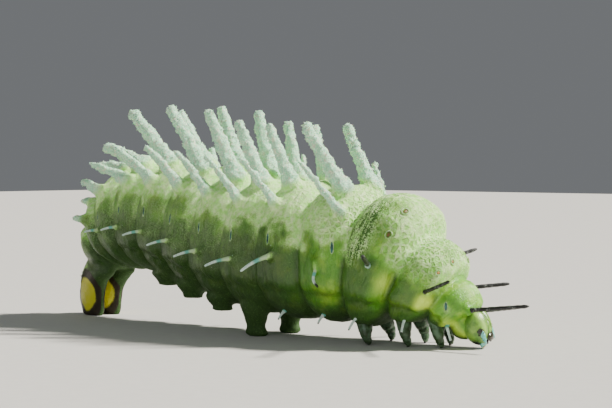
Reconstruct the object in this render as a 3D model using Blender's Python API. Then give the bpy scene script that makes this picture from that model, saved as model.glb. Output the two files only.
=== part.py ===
"""A life-size still model of a giant silk moth larva, walking with its rear end raised.

The body follows one bent line, from the head joint back to the tail. +X runs towards the head,
+Y to the larva's left and +Z up. The soles of the planted feet lie at z = 0.
"""

import math
from collections import namedtuple

import bmesh
import bpy
from mathutils import Matrix, Vector

MM = 0.001
GAP = 0.3 * MM  # clearance between neighbouring pieces
NECK_POINT = Vector((45.79, 2.83, 5.35)) * MM  # middle of the head joint
BODY_SIDES = 26
RINGS_PER_SEGMENT = (0.0, 0.13, 0.3, 0.5, 0.72, 0.89, 1.0)
SPINE_SIDES = 6
SINK = 1.6 * MM  # how deep a spine's root goes into the body
FLOOR = 0.0

# Lengths and half sizes in millimetres. The hump raises the back above the oval section, as a
# share of it. The crest, where the girth is largest, is a share of the length from the front
# fold. The lean is how far the back bulges forwards at the crest.
Segment = namedtuple("Segment", "name length half_width half_height hump crest lean")
SEGMENTS = (
    Segment("thorax_1", 5.8, 5.8, 4.7, 0.00, 0.50, 0.5),
    Segment("thorax_2", 7.6, 9.1, 7.7, 0.04, 0.42, 1.6),
    Segment("thorax_3", 10.4, 11.0, 11.7, 0.14, 0.36, 1.5),
    Segment("abdomen_1", 9.2, 11.6, 12.9, 0.05, 0.45, 0.3),
    Segment("abdomen_2", 9.6, 11.8, 13.2, 0.04, 0.45, 0.0),
    Segment("abdomen_3", 9.8, 11.8, 13.2, 0.04, 0.45, 0.0),
    Segment("abdomen_4", 9.8, 11.7, 13.2, 0.04, 0.45, 0.0),
    Segment("abdomen_5", 9.8, 11.5, 12.9, 0.04, 0.45, 0.0),
    Segment("abdomen_6", 9.8, 11.2, 12.3, 0.04, 0.45, 0.0),
    Segment("abdomen_7", 9.4, 10.8, 11.4, 0.04, 0.45, 0.0),
    Segment("abdomen_8", 8.4, 10.0, 10.5, 0.05, 0.45, 0.0),
    Segment("abdomen_9", 5.4, 8.5, 8.8, 0.00, 0.45, 0.0),
    Segment("abdomen_10", 6.6, 6.3, 6.4, 0.00, 0.40, 0.0),
)
# At each fold, from the head joint to the tail: heading left of +X, and nose-down pitch.
FOLD_HEADING = (19, 15, 11.5, 10, 4, -2.5, -5.5, -7, -7.5, -7, -5.5, -4, -3.5, -3.5)
FOLD_PITCH = (60, 34, 26, 9, 2, 3, 7, 10, 9, 3, -8, -26, -44, -60)

# The body's section
FOLD_SHRINK = 0.92  # girth at a fold against its neighbours' crests
FOLD_MEAN = 0.45  # 0 takes the smaller neighbour's crest for that, 1 the mean of both
NECK_SHRINK = 0.80  # girth at the head joint against the first segment's crest
TAIL_SHRINK = 0.55  # girth at the very end of the tail against the last segment's crest
SWELL_POWER = 0.8  # below 1 a segment fills out fast behind its fold
SIDE_POWER, RISE_POWER = 0.90, 0.92  # below 1 the section is fuller than an ellipse
BELLY_DEPTH = 1.04  # the belly's depth below the line, as a share of the back's height
HUMP_SPREAD = 62  # degrees from the top over which a hump fades out
LEAN_SPREAD = 85
RIDGE_HEIGHT = 0.045  # the soft ridge low on each side, as a share of the section
RIDGE_ANGLE, RIDGE_SPREAD = 112, 13  # in degrees from the top

# A spine: where round the body it stands, from the top, its length and root radius in
# millimetres, its direction as shares of outward, backward and upward, its tip's share of the
# root radius, and how far ahead of the segment's crest it stands, in millimetres.
Spine = namedtuple("Spine", "angle length radius out back up taper ahead")


def spine(angle, length, radius, out, back, up, taper=0.55, ahead=0.0):
    return Spine(angle, length, radius, out, back, up, taper, ahead)


def leg_spine(angle, ahead=0.0):
    """The short spine that hangs on the flank just outside a leg."""
    return spine(angle, 3.0, 0.42, 0.42, 0.05, -0.90, 0.7, ahead)


def belly_spine(angle, ahead=0.0):
    return spine(angle, 2.3, 0.42, 0.70, 0.10, -0.70, 0.6, ahead)


SPINES = {
    "thorax_1": (
        spine(50, 12.2, 0.75, 0.18, -0.98, 0.11, 0.62, 2.0),
        spine(134, 3.0, 0.42, 0.10, -0.32, -0.92, 0.7, 2.4),
    ),
    "thorax_2": (spine(87, 10.5, 0.75, 0.62, -0.74, 0.26, 0.62, 1.2), leg_spine(145)),
    "thorax_3": (spine(88, 12.5, 0.80, 0.90, -0.40, 0.20, 0.60, -1.2), leg_spine(143, -2.3)),
    "abdomen_1": (
        spine(23, 15.0, 1.55, 0.16, 0.50, 0.85, 0.72),
        spine(50, 12.4, 1.05, 0.38, 0.50, 0.78, ahead=2.0),
        spine(97, 4.6, 0.95, 0.55, -0.45, -0.70),
        belly_spine(149, -1.0),
    ),
    "abdomen_2": (
        spine(23, 13.2, 1.50, 0.12, 0.36, 0.92, 0.72, -1.2),
        spine(50, 11.5, 1.05, 0.36, 0.48, 0.78, ahead=-1.5),
        spine(92, 7.2, 1.05, 0.80, 0.50, -0.45),
        belly_spine(149, -1.0),
    ),
    "abdomen_3": (
        spine(23, 13.6, 1.55, 0.12, 0.38, 0.91, 0.72),
        spine(50, 11.5, 1.10, 0.36, 0.50, 0.78, ahead=-1.6),
        spine(98, 6.0, 0.95, 0.84, 0.46, -0.24),
    ),
    "abdomen_4": (
        spine(22, 15.4, 1.60, 0.12, 0.44, 0.90, 0.74, 1.0),
        spine(50, 11.8, 1.15, 0.36, 0.52, 0.76, ahead=-1.6),
        spine(98, 5.6, 0.92, 0.84, 0.46, -0.22),
    ),
    "abdomen_5": (
        spine(22, 16.2, 1.65, 0.12, 0.56, 0.82, 0.74),
        spine(50, 11.6, 1.20, 0.36, 0.56, 0.72, ahead=-1.6),
        spine(98, 5.2, 0.90, 0.84, 0.48, -0.20),
    ),
    "abdomen_6": (
        spine(21, 16.6, 1.70, 0.12, 0.72, 0.70, 0.74, -1.0),
        spine(50, 11.4, 1.25, 0.36, 0.66, 0.60, ahead=-1.4),
        spine(98, 4.8, 0.88, 0.82, 0.52, -0.18),
    ),
    "abdomen_7": (
        spine(22, 12.6, 1.65, 0.14, 0.92, 0.32, 0.74),
        spine(50, 10.4, 1.25, 0.36, 0.84, 0.36),
        spine(98, 4.4, 0.85, 0.80, 0.56, -0.16),
    ),
    "abdomen_8": (
        spine(0, 10.0, 1.90, 0.0, 0.98, 0.12, 0.74),
        spine(52, 5.6, 1.15, 0.40, 0.80, 0.40),
        spine(98, 3.8, 0.80, 0.80, 0.58, -0.10),
    ),
    "abdomen_9": (
        spine(24, 3.3, 0.95, 0.20, 0.92, 0.20),
        spine(66, 2.9, 0.85, 0.55, 0.80, 0.10),
    ),
    "abdomen_10": (),
}
# Spines whose left one differs from its partner: segment and place in its row.
ODD_LEFT_SPINES = {
    ("thorax_1", 0): spine(66, 7.6, 0.70, 0.06, -0.99, 0.04, 0.62, 2.4),
    ("thorax_2", 0): spine(91, 10.5, 0.75, 0.54, -0.84, 0.09, 0.62, 1.2),
    ("thorax_3", 0): spine(94, 13.0, 0.80, 0.80, -0.58, 0.27, 0.60, -0.9),
}

# Along a spine: share of its length, the fixed and the tapered share of its root radius, and
# the share of its bend.
SPINE_PROFILE = (
    (0.03, 1.18, 0.0, 0.0),
    (0.22, 0.86, 0.0, 0.0),
    (0.62, 0.50, 0.5, 1.0),
    (0.95, 0.00, 1.0, 0.2),
    (1.00, 0.00, 0.5, 0.0),
)
SPINE_FOOT = 1.25  # its radius inside the body, as a share of the root radius
SPINE_BEND_UP, SPINE_BEND_BACK = 0.05, 0.04  # shares of its length

# Name, base colour and roughness.
FLESH = ("larva_flesh", (0.42, 0.68, 0.26, 1.0), 0.5)
LEG_GREEN = ("larva_leg", (0.30, 0.52, 0.24, 1.0), 0.45)
HEAD_GREEN = ("larva_head", (0.36, 0.60, 0.16, 1.0), 0.25)
HORN_DARK = ("larva_horn", (0.05, 0.035, 0.03, 1.0), 0.3)
HORN_TEAL = ("larva_teal", (0.30, 0.66, 0.58, 1.0), 0.35)
CLASPER = ("larva_clasper", (0.45, 0.50, 0.12, 1.0), 0.45)


def clear_scene():
    for obj in list(bpy.data.objects):
        bpy.data.objects.remove(obj)


def material(finish):
    name, colour, roughness = finish
    made = bpy.data.materials.get(name)
    if made:
        return made
    made = bpy.data.materials.new(name)
    made.use_nodes = True
    shader = made.node_tree.nodes["Principled BSDF"]
    shader.inputs["Base Color"].default_value = colour
    shader.inputs["Roughness"].default_value = roughness
    shader.inputs["Metallic"].default_value = 0.0
    return made


def smooth(t):
    return t * t * (3 - 2 * t)


def mix(a, b, t):
    return a + (b - a) * t


# The body's line

STEP = 0.1 * MM


def direction(heading, pitch):
    """Unit vector towards the head, for a heading and a nose-down pitch in degrees."""
    h, p = math.radians(heading), math.radians(pitch)
    return Vector((math.cos(h) * math.cos(p), math.sin(h) * math.cos(p), -math.sin(p)))


class BodyLine:
    """The middle line, walked backwards from the head joint."""

    def __init__(self):
        self.folds = [0.0]
        for segment in SEGMENTS:
            self.folds.append(self.folds[-1] + segment.length * MM)
        self.points = [NECK_POINT.copy()]
        steps = math.ceil(self.folds[-1] / STEP)
        for i in range(steps):
            heading, pitch = self.angles((i + 0.5) * STEP)
            self.points.append(self.points[-1] - direction(heading, pitch) * STEP)

    def segment_at(self, s):
        """Index of the segment at distance s behind the head joint, and the share of it passed."""
        for i in range(len(SEGMENTS)):
            if s < self.folds[i + 1] or i == len(SEGMENTS) - 1:
                start, end = self.folds[i], self.folds[i + 1]
                return i, min(1.0, max(0.0, (s - start) / (end - start)))

    def angles(self, s):
        i, t = self.segment_at(s)
        return (
            mix(FOLD_HEADING[i], FOLD_HEADING[i + 1], t),
            mix(FOLD_PITCH[i], FOLD_PITCH[i + 1], t),
        )

    def frame(self, s):
        """Middle point, and the directions forwards, left and up, at distance s."""
        at = min(max(s / STEP, 0.0), len(self.points) - 1.001)
        i = int(at)
        point = self.points[i].lerp(self.points[i + 1], at - i)
        heading, pitch = self.angles(s)
        forward = direction(heading, pitch)
        left = Vector((-math.sin(math.radians(heading)), math.cos(math.radians(heading)), 0))
        return point, forward, left, forward.cross(left)


LINE = BodyLine()


# The body's section

def swell(t, crest):
    """0 at both folds of a segment and 1 at its crest."""
    rise = t / crest if t < crest else (1 - t) / (1 - crest)
    return math.sin(0.5 * math.pi * rise) ** SWELL_POWER if rise > 0 else 0.0


def crest_of(i):
    """Distance of a segment's crest behind the head joint."""
    return mix(LINE.folds[i], LINE.folds[i + 1], SEGMENTS[i].crest)


def fold_size(i, key):
    """Half size at fold i, from the crests on its two sides."""
    if i == 0:
        return getattr(SEGMENTS[0], key) * NECK_SHRINK
    if i == len(SEGMENTS):
        return getattr(SEGMENTS[-1], key) * TAIL_SHRINK
    before, after = getattr(SEGMENTS[i - 1], key), getattr(SEGMENTS[i], key)
    return mix(min(before, after), 0.5 * (before + after), FOLD_MEAN) * FOLD_SHRINK


def half_sizes(s):
    """Half width, half height, hump share and lean at distance s."""
    i, t = LINE.segment_at(s)
    segment = SEGMENTS[i]
    rise = swell(t, segment.crest)
    sizes = []
    for key in ("half_width", "half_height"):
        between = mix(fold_size(i, key), fold_size(i + 1, key), smooth(t))
        crest = mix(fold_size(i, key), fold_size(i + 1, key), smooth(segment.crest))
        sizes.append((between + (getattr(segment, key) - crest) * rise) * MM)
    return sizes[0], sizes[1], segment.hump * rise, segment.lean * rise * MM


def skin_point(s, angle, grow=0.0):
    """The skin at distance s, at an angle from the top that is positive on the left."""
    point, forward, left, up = LINE.frame(s)
    width, height, hump, lean = half_sizes(s)
    a, low = math.radians(angle), abs(angle)
    side = math.copysign(abs(math.sin(a)) ** SIDE_POWER, math.sin(a))
    rise = math.copysign(abs(math.cos(a)) ** RISE_POWER, math.cos(a))
    if rise < 0:
        rise *= BELLY_DEPTH
    ridge = RIDGE_HEIGHT * math.exp(-(((low - RIDGE_ANGLE) / RIDGE_SPREAD) ** 2))
    scale = 1 + ridge + hump * math.exp(-((low / HUMP_SPREAD) ** 4))
    ahead = lean * math.exp(-((low / LEAN_SPREAD) ** 4))
    return (
        point
        + left * (width + grow) * side * scale
        + up * (height + grow) * rise * scale
        + forward * ahead
    )


def ring_points(s, shift=0.0, grow=0.0):
    """The skin's ring at distance s, moved forwards by shift along the body's line."""
    forward = LINE.frame(s)[1]
    turn = 360 / BODY_SIDES
    return [
        skin_point(s, (k * turn + 180) % 360 - 180, grow) + forward * shift
        for k in range(BODY_SIDES)
    ]


# Meshes

def finished(bm, name, finish):
    bmesh.ops.recalc_face_normals(bm, faces=bm.faces)
    mesh = bpy.data.meshes.new(name)
    bm.to_mesh(mesh)
    bm.free()
    mesh.materials.append(material(finish))
    mesh.shade_smooth()
    obj = bpy.data.objects.new(name, mesh)
    bpy.context.scene.collection.objects.link(obj)
    return obj


def loft(name, rings, finish):
    """A closed body through rings that hold the same number of points."""
    bm = bmesh.new()
    loops = []
    for points in rings:
        made = bmesh.ops.create_circle(bm, cap_ends=False, radius=MM, segments=len(points))
        for vert, point in zip(made["verts"], points):
            vert.co = point
        loops.append(list({edge for vert in made["verts"] for edge in vert.link_edges}))
    for front, rear in zip(loops, loops[1:]):
        bmesh.ops.bridge_loops(bm, edges=front + rear)
    bmesh.ops.edgeloop_fill(bm, edges=loops[0])
    bmesh.ops.edgeloop_fill(bm, edges=loops[-1])
    return finished(bm, name, finish)


def oval(centre, across, over, sides):
    """Points of an oval about a centre, with its two half axes as vectors."""
    turn = 2 * math.pi / sides
    return [centre + across * math.cos(k * turn) + over * math.sin(k * turn) for k in range(sides)]


def tapered(name, stations, sides, finish, sideways=None):
    """A loft along stations of (point, radius) or (point, radius across, radius over)."""
    points = [station[0] for station in stations]
    across = sideways or Vector((0, 0, 1)).cross(points[-1] - points[0])
    if across.length < 1e-9:
        across = Vector((0, 1, 0))
    rings = []
    for i, station in enumerate(stations):
        along = (points[min(i + 1, len(points) - 1)] - points[max(i - 1, 0)]).normalized()
        flat = (across - along * across.dot(along)).normalized()
        rings.append(
            oval(station[0], flat * station[1], along.cross(flat) * station[-1], sides)
        )
    return loft(name, rings, finish)


def keep_largest(bm):
    """Deletes all but the piece with the most faces."""
    left, pieces = set(bm.faces), []
    while left:
        piece, edge = set(), {left.pop()}
        while edge:
            piece |= edge
            edge = {f for face in edge for e in face.edges for f in e.link_faces} - piece
        left -= piece
        pieces.append(piece)
    pieces.sort(key=len)
    for piece in pieces[:-1]:
        bmesh.ops.delete(bm, geom=list(piece), context="FACES")


MERGE_DISTANCE = 0.004 * MM  # closer points are made one after a union or a cut


def applied(obj):
    """Bakes the object's modifiers into its mesh, and keeps its largest closed surface."""
    bpy.context.view_layer.update()
    graph = bpy.context.evaluated_depsgraph_get()
    mesh = bpy.data.meshes.new_from_object(obj.evaluated_get(graph))
    obj.modifiers.clear()
    old = obj.data
    obj.data = mesh
    bpy.data.meshes.remove(old)
    bm = bmesh.new()
    bm.from_mesh(mesh)
    bmesh.ops.remove_doubles(bm, verts=bm.verts, dist=MERGE_DISTANCE)
    bmesh.ops.dissolve_degenerate(bm, edges=bm.edges, dist=MERGE_DISTANCE)
    keep_largest(bm)
    bm.to_mesh(mesh)
    bm.free()
    return obj


def fuse(obj, pieces):
    """Joins closed pieces into obj."""
    if not pieces:
        return obj
    group = bpy.data.collections.new(obj.name + "_pieces")
    bpy.context.scene.collection.children.link(group)
    for piece in pieces:
        bpy.context.scene.collection.objects.unlink(piece)
        group.objects.link(piece)
    join = obj.modifiers.new("fuse", "BOOLEAN")
    join.operation = "UNION"
    join.operand_type = "COLLECTION"
    join.collection = group
    join.solver = "EXACT"
    applied(obj)
    for piece in pieces:
        bpy.data.objects.remove(piece)
    bpy.data.collections.remove(group)
    return obj


def cut(obj, cutter):
    """Takes a cutter's shape away from obj."""
    trim = obj.modifiers.new("cut", "BOOLEAN")
    trim.operation = "DIFFERENCE"
    trim.object = cutter
    trim.solver = "EXACT"
    return applied(obj)


def sliced(obj, point, normal):
    """Cuts away what lies beyond a plane, on its normal's side, and closes the cut."""
    bm = bmesh.new()
    bm.from_mesh(obj.data)
    made = bmesh.ops.bisect_plane(
        bm,
        geom=list(bm.verts) + list(bm.edges) + list(bm.faces),
        plane_co=point,
        plane_no=normal,
        clear_outer=True,
    )
    rim = [item for item in made["geom_cut"] if isinstance(item, bmesh.types.BMEdge)]
    bmesh.ops.holes_fill(bm, edges=rim, sides=0)
    bmesh.ops.recalc_face_normals(bm, faces=bm.faces)
    bm.to_mesh(obj.data)
    bm.free()
    return obj


def as_cutter(obj):
    obj.hide_render = True
    obj.display_type = "WIRE"
    return obj


# Spines

def spine_piece(name, s, side, row):
    """One tapered spine with a flared foot, on the left for side 1 and the right for side -1."""
    s -= row.ahead * MM
    point, forward, left, up = LINE.frame(s)
    level = level_forward(forward)
    root = skin_point(s, row.angle * side)
    reach = left * side * row.out - level * row.back + Vector((0, 0, row.up))
    reach.normalize()
    inward = (point - root).normalized()
    length, radius = row.length * MM, row.radius * MM
    bend = (up * SPINE_BEND_UP - level * SPINE_BEND_BACK) * length
    stations = [(root + (inward * 0.7 - reach * 0.3).normalized() * SINK, radius * SPINE_FOOT)]
    for share, fixed, tapering, bent in SPINE_PROFILE:
        at = root + reach * length * share + bend * bent
        stations.append((at, radius * (fixed + tapering * row.taper)))
    return tapered(name, stations, SPINE_SIDES, FLESH)


def body_segment(i):
    """One body segment between two folds, with its spines fused on."""
    segment = SEGMENTS[i]
    start, end = LINE.folds[i], LINE.folds[i + 1]
    rings = []
    for share in RINGS_PER_SEGMENT:
        shift = -GAP / 2 if share == 0 else GAP / 2 if share == 1 and i < len(SEGMENTS) - 1 else 0
        rings.append(ring_points(mix(start, end, share), shift))
    body = loft(segment.name, rings, FLESH)
    crest = crest_of(i)
    pieces = []
    for n, row in enumerate(SPINES[segment.name]):
        left_row = ODD_LEFT_SPINES.get((segment.name, n), row)
        name = f"{segment.name}_spine_{n}"
        pieces.append(spine_piece(f"{name}_left", crest, 1, left_row))
        if row.angle:
            pieces.append(spine_piece(f"{name}_right", crest, -1, row))
    return fuse(body, pieces)


CUTTER_GROW = GAP * 1.15


def body_cutter():
    """The whole body grown by the gap, which trims the legs where they meet it."""
    stations = [
        mix(LINE.folds[i], LINE.folds[i + 1], share)
        for i in range(len(SEGMENTS))
        for share in RINGS_PER_SEGMENT[:-1]
    ]
    stations.append(LINE.folds[-1])
    rings = [ring_points(s, 0.0, CUTTER_GROW) for s in stations]
    rings.append(ring_points(stations[-1], -GAP, CUTTER_GROW))
    return as_cutter(loft("body_cutter", rings, FLESH))


# Legs

LEG_ANGLE = 160  # where round the body a jointed leg grows, from the top
LEG_SIDES = 9
LEG_HIP = 0.35  # how far inside the body its root lies, as a share of the way to the line
LEG_FOOT = (1.3, 0.3)  # how far the foot stands ahead of the root, and further out, in mm
LEG_KNEE = 0.5  # how far the knee bends out, in mm
# From the root to the foot: share of the way, radius in mm, and share of the knee's bend.
LEG_STATIONS = (
    (0.05, 1.60, 0.0),
    (0.36, 1.25, 1.0),
    (0.62, 1.05, 1.0),
    (0.88, 0.75, 0.0),
    (1.12, 0.62, 0.0),
)
LEG_HIP_RADIUS = 1.75

PROLEG_ANGLE = 157
PROLEG_SIDES = 12
PROLEG_HIP = 0.4
PROLEG_TUCK = 0.6  # how far the sole lies inside the root, in mm
# How high each pair's soles are, in mm. Only the first pair is planted.
PROLEG_LIFT = {"abdomen_3": 0.0, "abdomen_4": 4.4, "abdomen_5": 6.4, "abdomen_6": 8.5}
PROLEG_HIP_HALF = (2.6, 3.2)
# From the root to the sole: share of the way, and half sizes across and along, in mm.
PROLEG_STATIONS = (
    (-0.15, 2.70, 3.30),
    (0.42, 1.90, 2.50),
    (0.66, 1.65, 2.10),
    (0.84, 1.85, 2.55),
    (1.00, 1.50, 2.10),
)

CLASPER_SIDES = 14
CLASPER_HIP = (0.3, 2.4)  # its place along the last segment, and its distance from the middle
# From the hip to the sole, in mm: height, place along and across, half sizes along and across.
CLASPER_STATIONS = (
    (15.0, 1.8, 0.2, 3.6, 1.5),
    (12.0, 0.9, 0.3, 4.8, 2.1),
    (9.8, 0.1, 0.4, 5.1, 2.2),
    (8.0, -1.5, 0.3, 4.4, 2.15),
    (5.8, -2.4, 0.2, 3.9, 2.05),
    (3.2, -2.6, 0.1, 3.7, 1.9),
    (1.3, -2.5, 0.0, 3.4, 1.8),
    (0.0, -2.4, 0.0, 2.9, 1.5),
)


def side_word(side):
    return "left" if side > 0 else "right"


def level_forward(forward):
    return Vector((forward.x, forward.y, 0)).normalized()


def jointed_leg(i, side, cutter):
    """A short jointed leg of the thorax, standing on its claw."""
    s = mix(LINE.folds[i], LINE.folds[i + 1], 0.5)
    point, forward, left, _ = LINE.frame(s)
    root = skin_point(s, LEG_ANGLE * side)
    ahead, out = level_forward(forward) * LEG_FOOT[0], left * side * LEG_FOOT[1]
    foot = Vector((root.x, root.y, FLOOR)) + (ahead + out) * MM
    knee = left * side * LEG_KNEE * MM
    stations = [(root.lerp(point, LEG_HIP), LEG_HIP_RADIUS * MM)]
    for share, radius, bent in LEG_STATIONS:
        stations.append((root + (foot - root) * share + knee * bent, radius * MM))
    name = f"leg_{SEGMENTS[i].name[-1]}_{side_word(side)}"
    leg = cut(tapered(name, stations, LEG_SIDES, LEG_GREEN, left), cutter)
    return sliced(leg, Vector((0, 0, FLOOR)), Vector((0, 0, -1)))


def soft_leg(i, side, cutter):
    """A fleshy leg of the abdomen that ends in a flat, gripping sole."""
    segment = SEGMENTS[i]
    s = crest_of(i)
    point, forward, left, _ = LINE.frame(s)
    root = skin_point(s, PROLEG_ANGLE * side)
    along = level_forward(forward)
    sole = Vector((root.x, root.y, FLOOR + PROLEG_LIFT[segment.name] * MM))
    sole -= left * side * PROLEG_TUCK * MM
    rows = [(root.lerp(point, PROLEG_HIP), *PROLEG_HIP_HALF)]
    for share, half_across, half_along in PROLEG_STATIONS:
        rows.append((root + (sole - root) * share, half_across, half_along))
    rings = [
        oval(at, along * half_along * MM, left * half_across * MM, PROLEG_SIDES)
        for at, half_across, half_along in rows
    ]
    leg = loft(f"proleg_{segment.name[-1]}_{side_word(side)}", rings, LEG_GREEN)
    return cut(leg, cutter)


def tail_clasper(side, cutter):
    """The broad last leg under the tail, a flattened lobe that reaches down to the floor."""
    point, forward, left, _ = LINE.frame(mix(LINE.folds[-2], LINE.folds[-1], CLASPER_HIP[0]))
    along, outward = level_forward(forward) * MM, left * side * MM
    hip = point + outward * CLASPER_HIP[1]
    rings = []
    for height, ahead, out, half_along, half_across in CLASPER_STATIONS:
        centre = Vector((hip.x, hip.y, FLOOR + height * MM)) + along * ahead + outward * out
        rings.append(oval(centre, along * half_along, left * half_across * MM, CLASPER_SIDES))
    return cut(loft(f"clasper_{side_word(side)}", rings, CLASPER), cutter)


# Head

HEAD_HALF = (2.6, 3.3, 3.6)  # half depth, half width and half height of the capsule, in mm
HEAD_FORWARD = 2.1  # from the head joint to the capsule's middle, in mm
HEAD_MIDDLE_HEIGHT = 4.15  # in mm
HEAD_TURN = 12  # heading left of +X
HEAD_TILT = 12  # how far the face looks up from level
HEAD_ROLL = 10  # how far its left cheek is raised
HEAD_SIDES, HEAD_ROWS = 22, 13
CHIN_NARROW, CHIN_POWER = 0.30, 1.4  # how much slimmer the capsule is at its lowest point
CHEEK_FULL = 0.12  # how much further forwards it reaches there
LOBE_DENT, LOBE_WIDTH = 0.11, 0.16  # the groove down the face: depth share and half width
LOBE_START = 0.35  # how far below the middle the groove fades out
HEAD_CUTTER_GROW = 0.33  # in mm, a little over the gap

# Places on the capsule are directions of the unit ball; points off it are in mm of its frame.
ANTENNA_ROOT, ANTENNA_AIM = (0.60, 0.70, -0.44), (1.9, 2.15, -3.7)
# Distance from the root and radius, in mm.
ANTENNA_JOINTS = (
    (-0.90, 0.54), (0.40, 0.52), (0.65, 0.45), (1.25, 0.42), (1.45, 0.27), (1.95, 0.24),
)
EYE_SPOTS = (
    (0.62, 0.80, -0.34), (0.70, 0.74, -0.26), (0.66, 0.80, -0.15),
    (0.55, 0.88, -0.12), (0.46, 0.93, -0.20), (0.46, 0.90, -0.36),
)
EYE_JOINTS = ((-0.70, 0.30), (0.30, 0.30), (0.48, 0.19))
UPPER_LIP_ROOT, UPPER_LIP_AIM = (0.80, 0.0, -0.72), (2.2, 0.0, -4.6)
# Distance from the root, half width and half thickness, in mm.
UPPER_LIP_ROWS = ((-0.90, 1.15, 0.48), (0.25, 1.15, 0.44), (0.70, 0.92, 0.34))
JAW_ROOT, JAW_AIM = (0.56, 0.38, -0.90), (1.9, 0.65, -4.6)
JAW_JOINTS = ((-0.70, 0.52), (0.20, 0.50), (0.60, 0.32))
LOWER_LIP_ROOT, LOWER_LIP_AIM = (0.12, 0.0, -1.0), (0.35, 0.0, -5.4)
LOWER_LIP_ROWS = ((-0.80, 1.20, 0.66), (0.22, 1.10, 0.58))
PALP_SPACING, PALP_AHEAD = 0.72, 0.1
PALP_JOINTS = ((-0.30, 0.29), (0.35, 0.26), (0.58, 0.20))


def head_matrix():
    """The head's own frame: +X out of the face, +Y to its left, +Z up."""
    neck, forward, _, _ = LINE.frame(0)
    middle = neck + level_forward(forward) * HEAD_FORWARD * MM
    middle.z = HEAD_MIDDLE_HEIGHT * MM
    turn = Matrix.Rotation(math.radians(HEAD_TURN), 4, "Z")
    tilt = Matrix.Rotation(math.radians(-HEAD_TILT), 4, "Y")
    roll = Matrix.Rotation(math.radians(HEAD_ROLL), 4, "X")
    return Matrix.Translation(middle) @ turn @ tilt @ roll


def head_shape(co):
    """Moves a point of the unit ball onto the capsule, in mm of the head's own frame."""
    x, y, z = co
    low = max(0.0, -z)
    narrow = 1 - CHIN_NARROW * low**CHIN_POWER
    fade = smooth(max(0.0, min(1.0, LOBE_START + z)))
    pull = 1 - LOBE_DENT * math.exp(-((y / LOBE_WIDTH) ** 2)) * fade
    front = 1 + CHEEK_FULL * low if x > 0 else 1
    return Vector(
        (HEAD_HALF[0] * x * front * pull, HEAD_HALF[1] * y * narrow, HEAD_HALF[2] * z * pull)
    )


def head_ball(name, grow, finish):
    bm = bmesh.new()
    bmesh.ops.create_uvsphere(bm, u_segments=HEAD_SIDES, v_segments=HEAD_ROWS, radius=1)
    half_step = Matrix.Rotation(math.pi / HEAD_SIDES, 3, "Z")
    bmesh.ops.rotate(bm, verts=bm.verts, matrix=half_step)
    for vert in bm.verts:
        vert.co = (head_shape(vert.co) + vert.co.normalized() * grow) * MM
    bmesh.ops.transform(bm, matrix=head_matrix(), verts=bm.verts)
    return finished(bm, name, finish)


def head_capsule():
    """The hard round head, cut flat where it meets the neck."""
    neck, forward, _, _ = LINE.frame(0)
    return sliced(head_ball("head", 0.0, HEAD_GREEN), neck + forward * GAP / 2, -forward)


def on_left_or_right(place, side):
    return Vector((place[0], place[1] * side, place[2]))


def mouth_root(root, aim, side=1):
    """Where a mouthpart leaves the capsule, and the direction that it points in."""
    on_ball = on_left_or_right(root, side).normalized()
    start = head_matrix() @ (head_shape(on_ball) * MM)
    end = head_matrix() @ (on_left_or_right(aim, side) * MM)
    return start, (end - start).normalized()


def joints_along(start, out, rows):
    return [(start + out * row[0] * MM, *[size * MM for size in row[1:]]) for row in rows]


def head_across():
    return head_matrix().to_3x3() @ Vector((0, 1, 0))


def antenna(side, cutter):
    """A short three-jointed antenna beside the mouth."""
    start, out = mouth_root(ANTENNA_ROOT, ANTENNA_AIM, side)
    stations = joints_along(start, out, ANTENNA_JOINTS)
    return cut(tapered(f"antenna_{side_word(side)}", stations, 9, HORN_TEAL), cutter)


def eye_patch(side, cutter):
    """The curved row of simple eyes on the cheek."""
    name = f"eyes_{side_word(side)}"
    beads = []
    for n, spot in enumerate(EYE_SPOTS):
        start, inward = mouth_root(spot, (0.0, 0.0, 0.0), side)
        stations = joints_along(start, -inward, EYE_JOINTS)
        beads.append(tapered(name if n == 0 else f"{name}_{n}", stations, 8, HORN_DARK))
    return cut(fuse(beads[0], beads[1:]), cutter)


def upper_lip(cutter):
    start, out = mouth_root(UPPER_LIP_ROOT, UPPER_LIP_AIM)
    stations = joints_along(start, out, UPPER_LIP_ROWS)
    return cut(tapered("upper_lip", stations, 10, HORN_DARK, head_across()), cutter)


def jaw(side, cutter):
    """One biting jaw, beside and behind the lip."""
    start, out = mouth_root(JAW_ROOT, JAW_AIM, side)
    stations = joints_along(start, out, JAW_JOINTS)
    return cut(tapered(f"jaw_{side_word(side)}", stations, 8, HORN_DARK), cutter)


def lower_lip(cutter):
    """The lower lip with its two feelers and the silk spout, as one piece."""
    start, down = mouth_root(LOWER_LIP_ROOT, LOWER_LIP_AIM)
    across = head_across()
    stations = joints_along(start, down, LOWER_LIP_ROWS)
    body = tapered("lower_lip", stations, 10, HORN_TEAL, across)
    palps = []
    for n in (-1, 0, 1):
        at = start + (across * n * PALP_SPACING + across.cross(down) * PALP_AHEAD) * MM
        stations = joints_along(at, down, PALP_JOINTS)
        palps.append(tapered(f"palp_{n}", stations, 7, HORN_TEAL, across))
    return cut(fuse(body, palps), cutter)


def build():
    clear_scene()
    for i in range(len(SEGMENTS)):
        body_segment(i)
    trimmer = body_cutter()
    for side in (1, -1):
        for i, segment in enumerate(SEGMENTS):
            if segment.name.startswith("thorax"):
                jointed_leg(i, side, trimmer)
            if segment.name in PROLEG_LIFT:
                soft_leg(i, side, trimmer)
        tail_clasper(side, trimmer)
    head_capsule()
    head_trimmer = as_cutter(head_ball("head_cutter", HEAD_CUTTER_GROW, HEAD_GREEN))
    for side in (1, -1):
        antenna(side, head_trimmer)
        eye_patch(side, head_trimmer)
        jaw(side, head_trimmer)
    upper_lip(head_trimmer)
    lower_lip(head_trimmer)


build()
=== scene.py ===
import math

import bmesh
import bpy
import numpy as np
from mathutils import Matrix, Vector, noise
from mathutils.kdtree import KDTree


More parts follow.
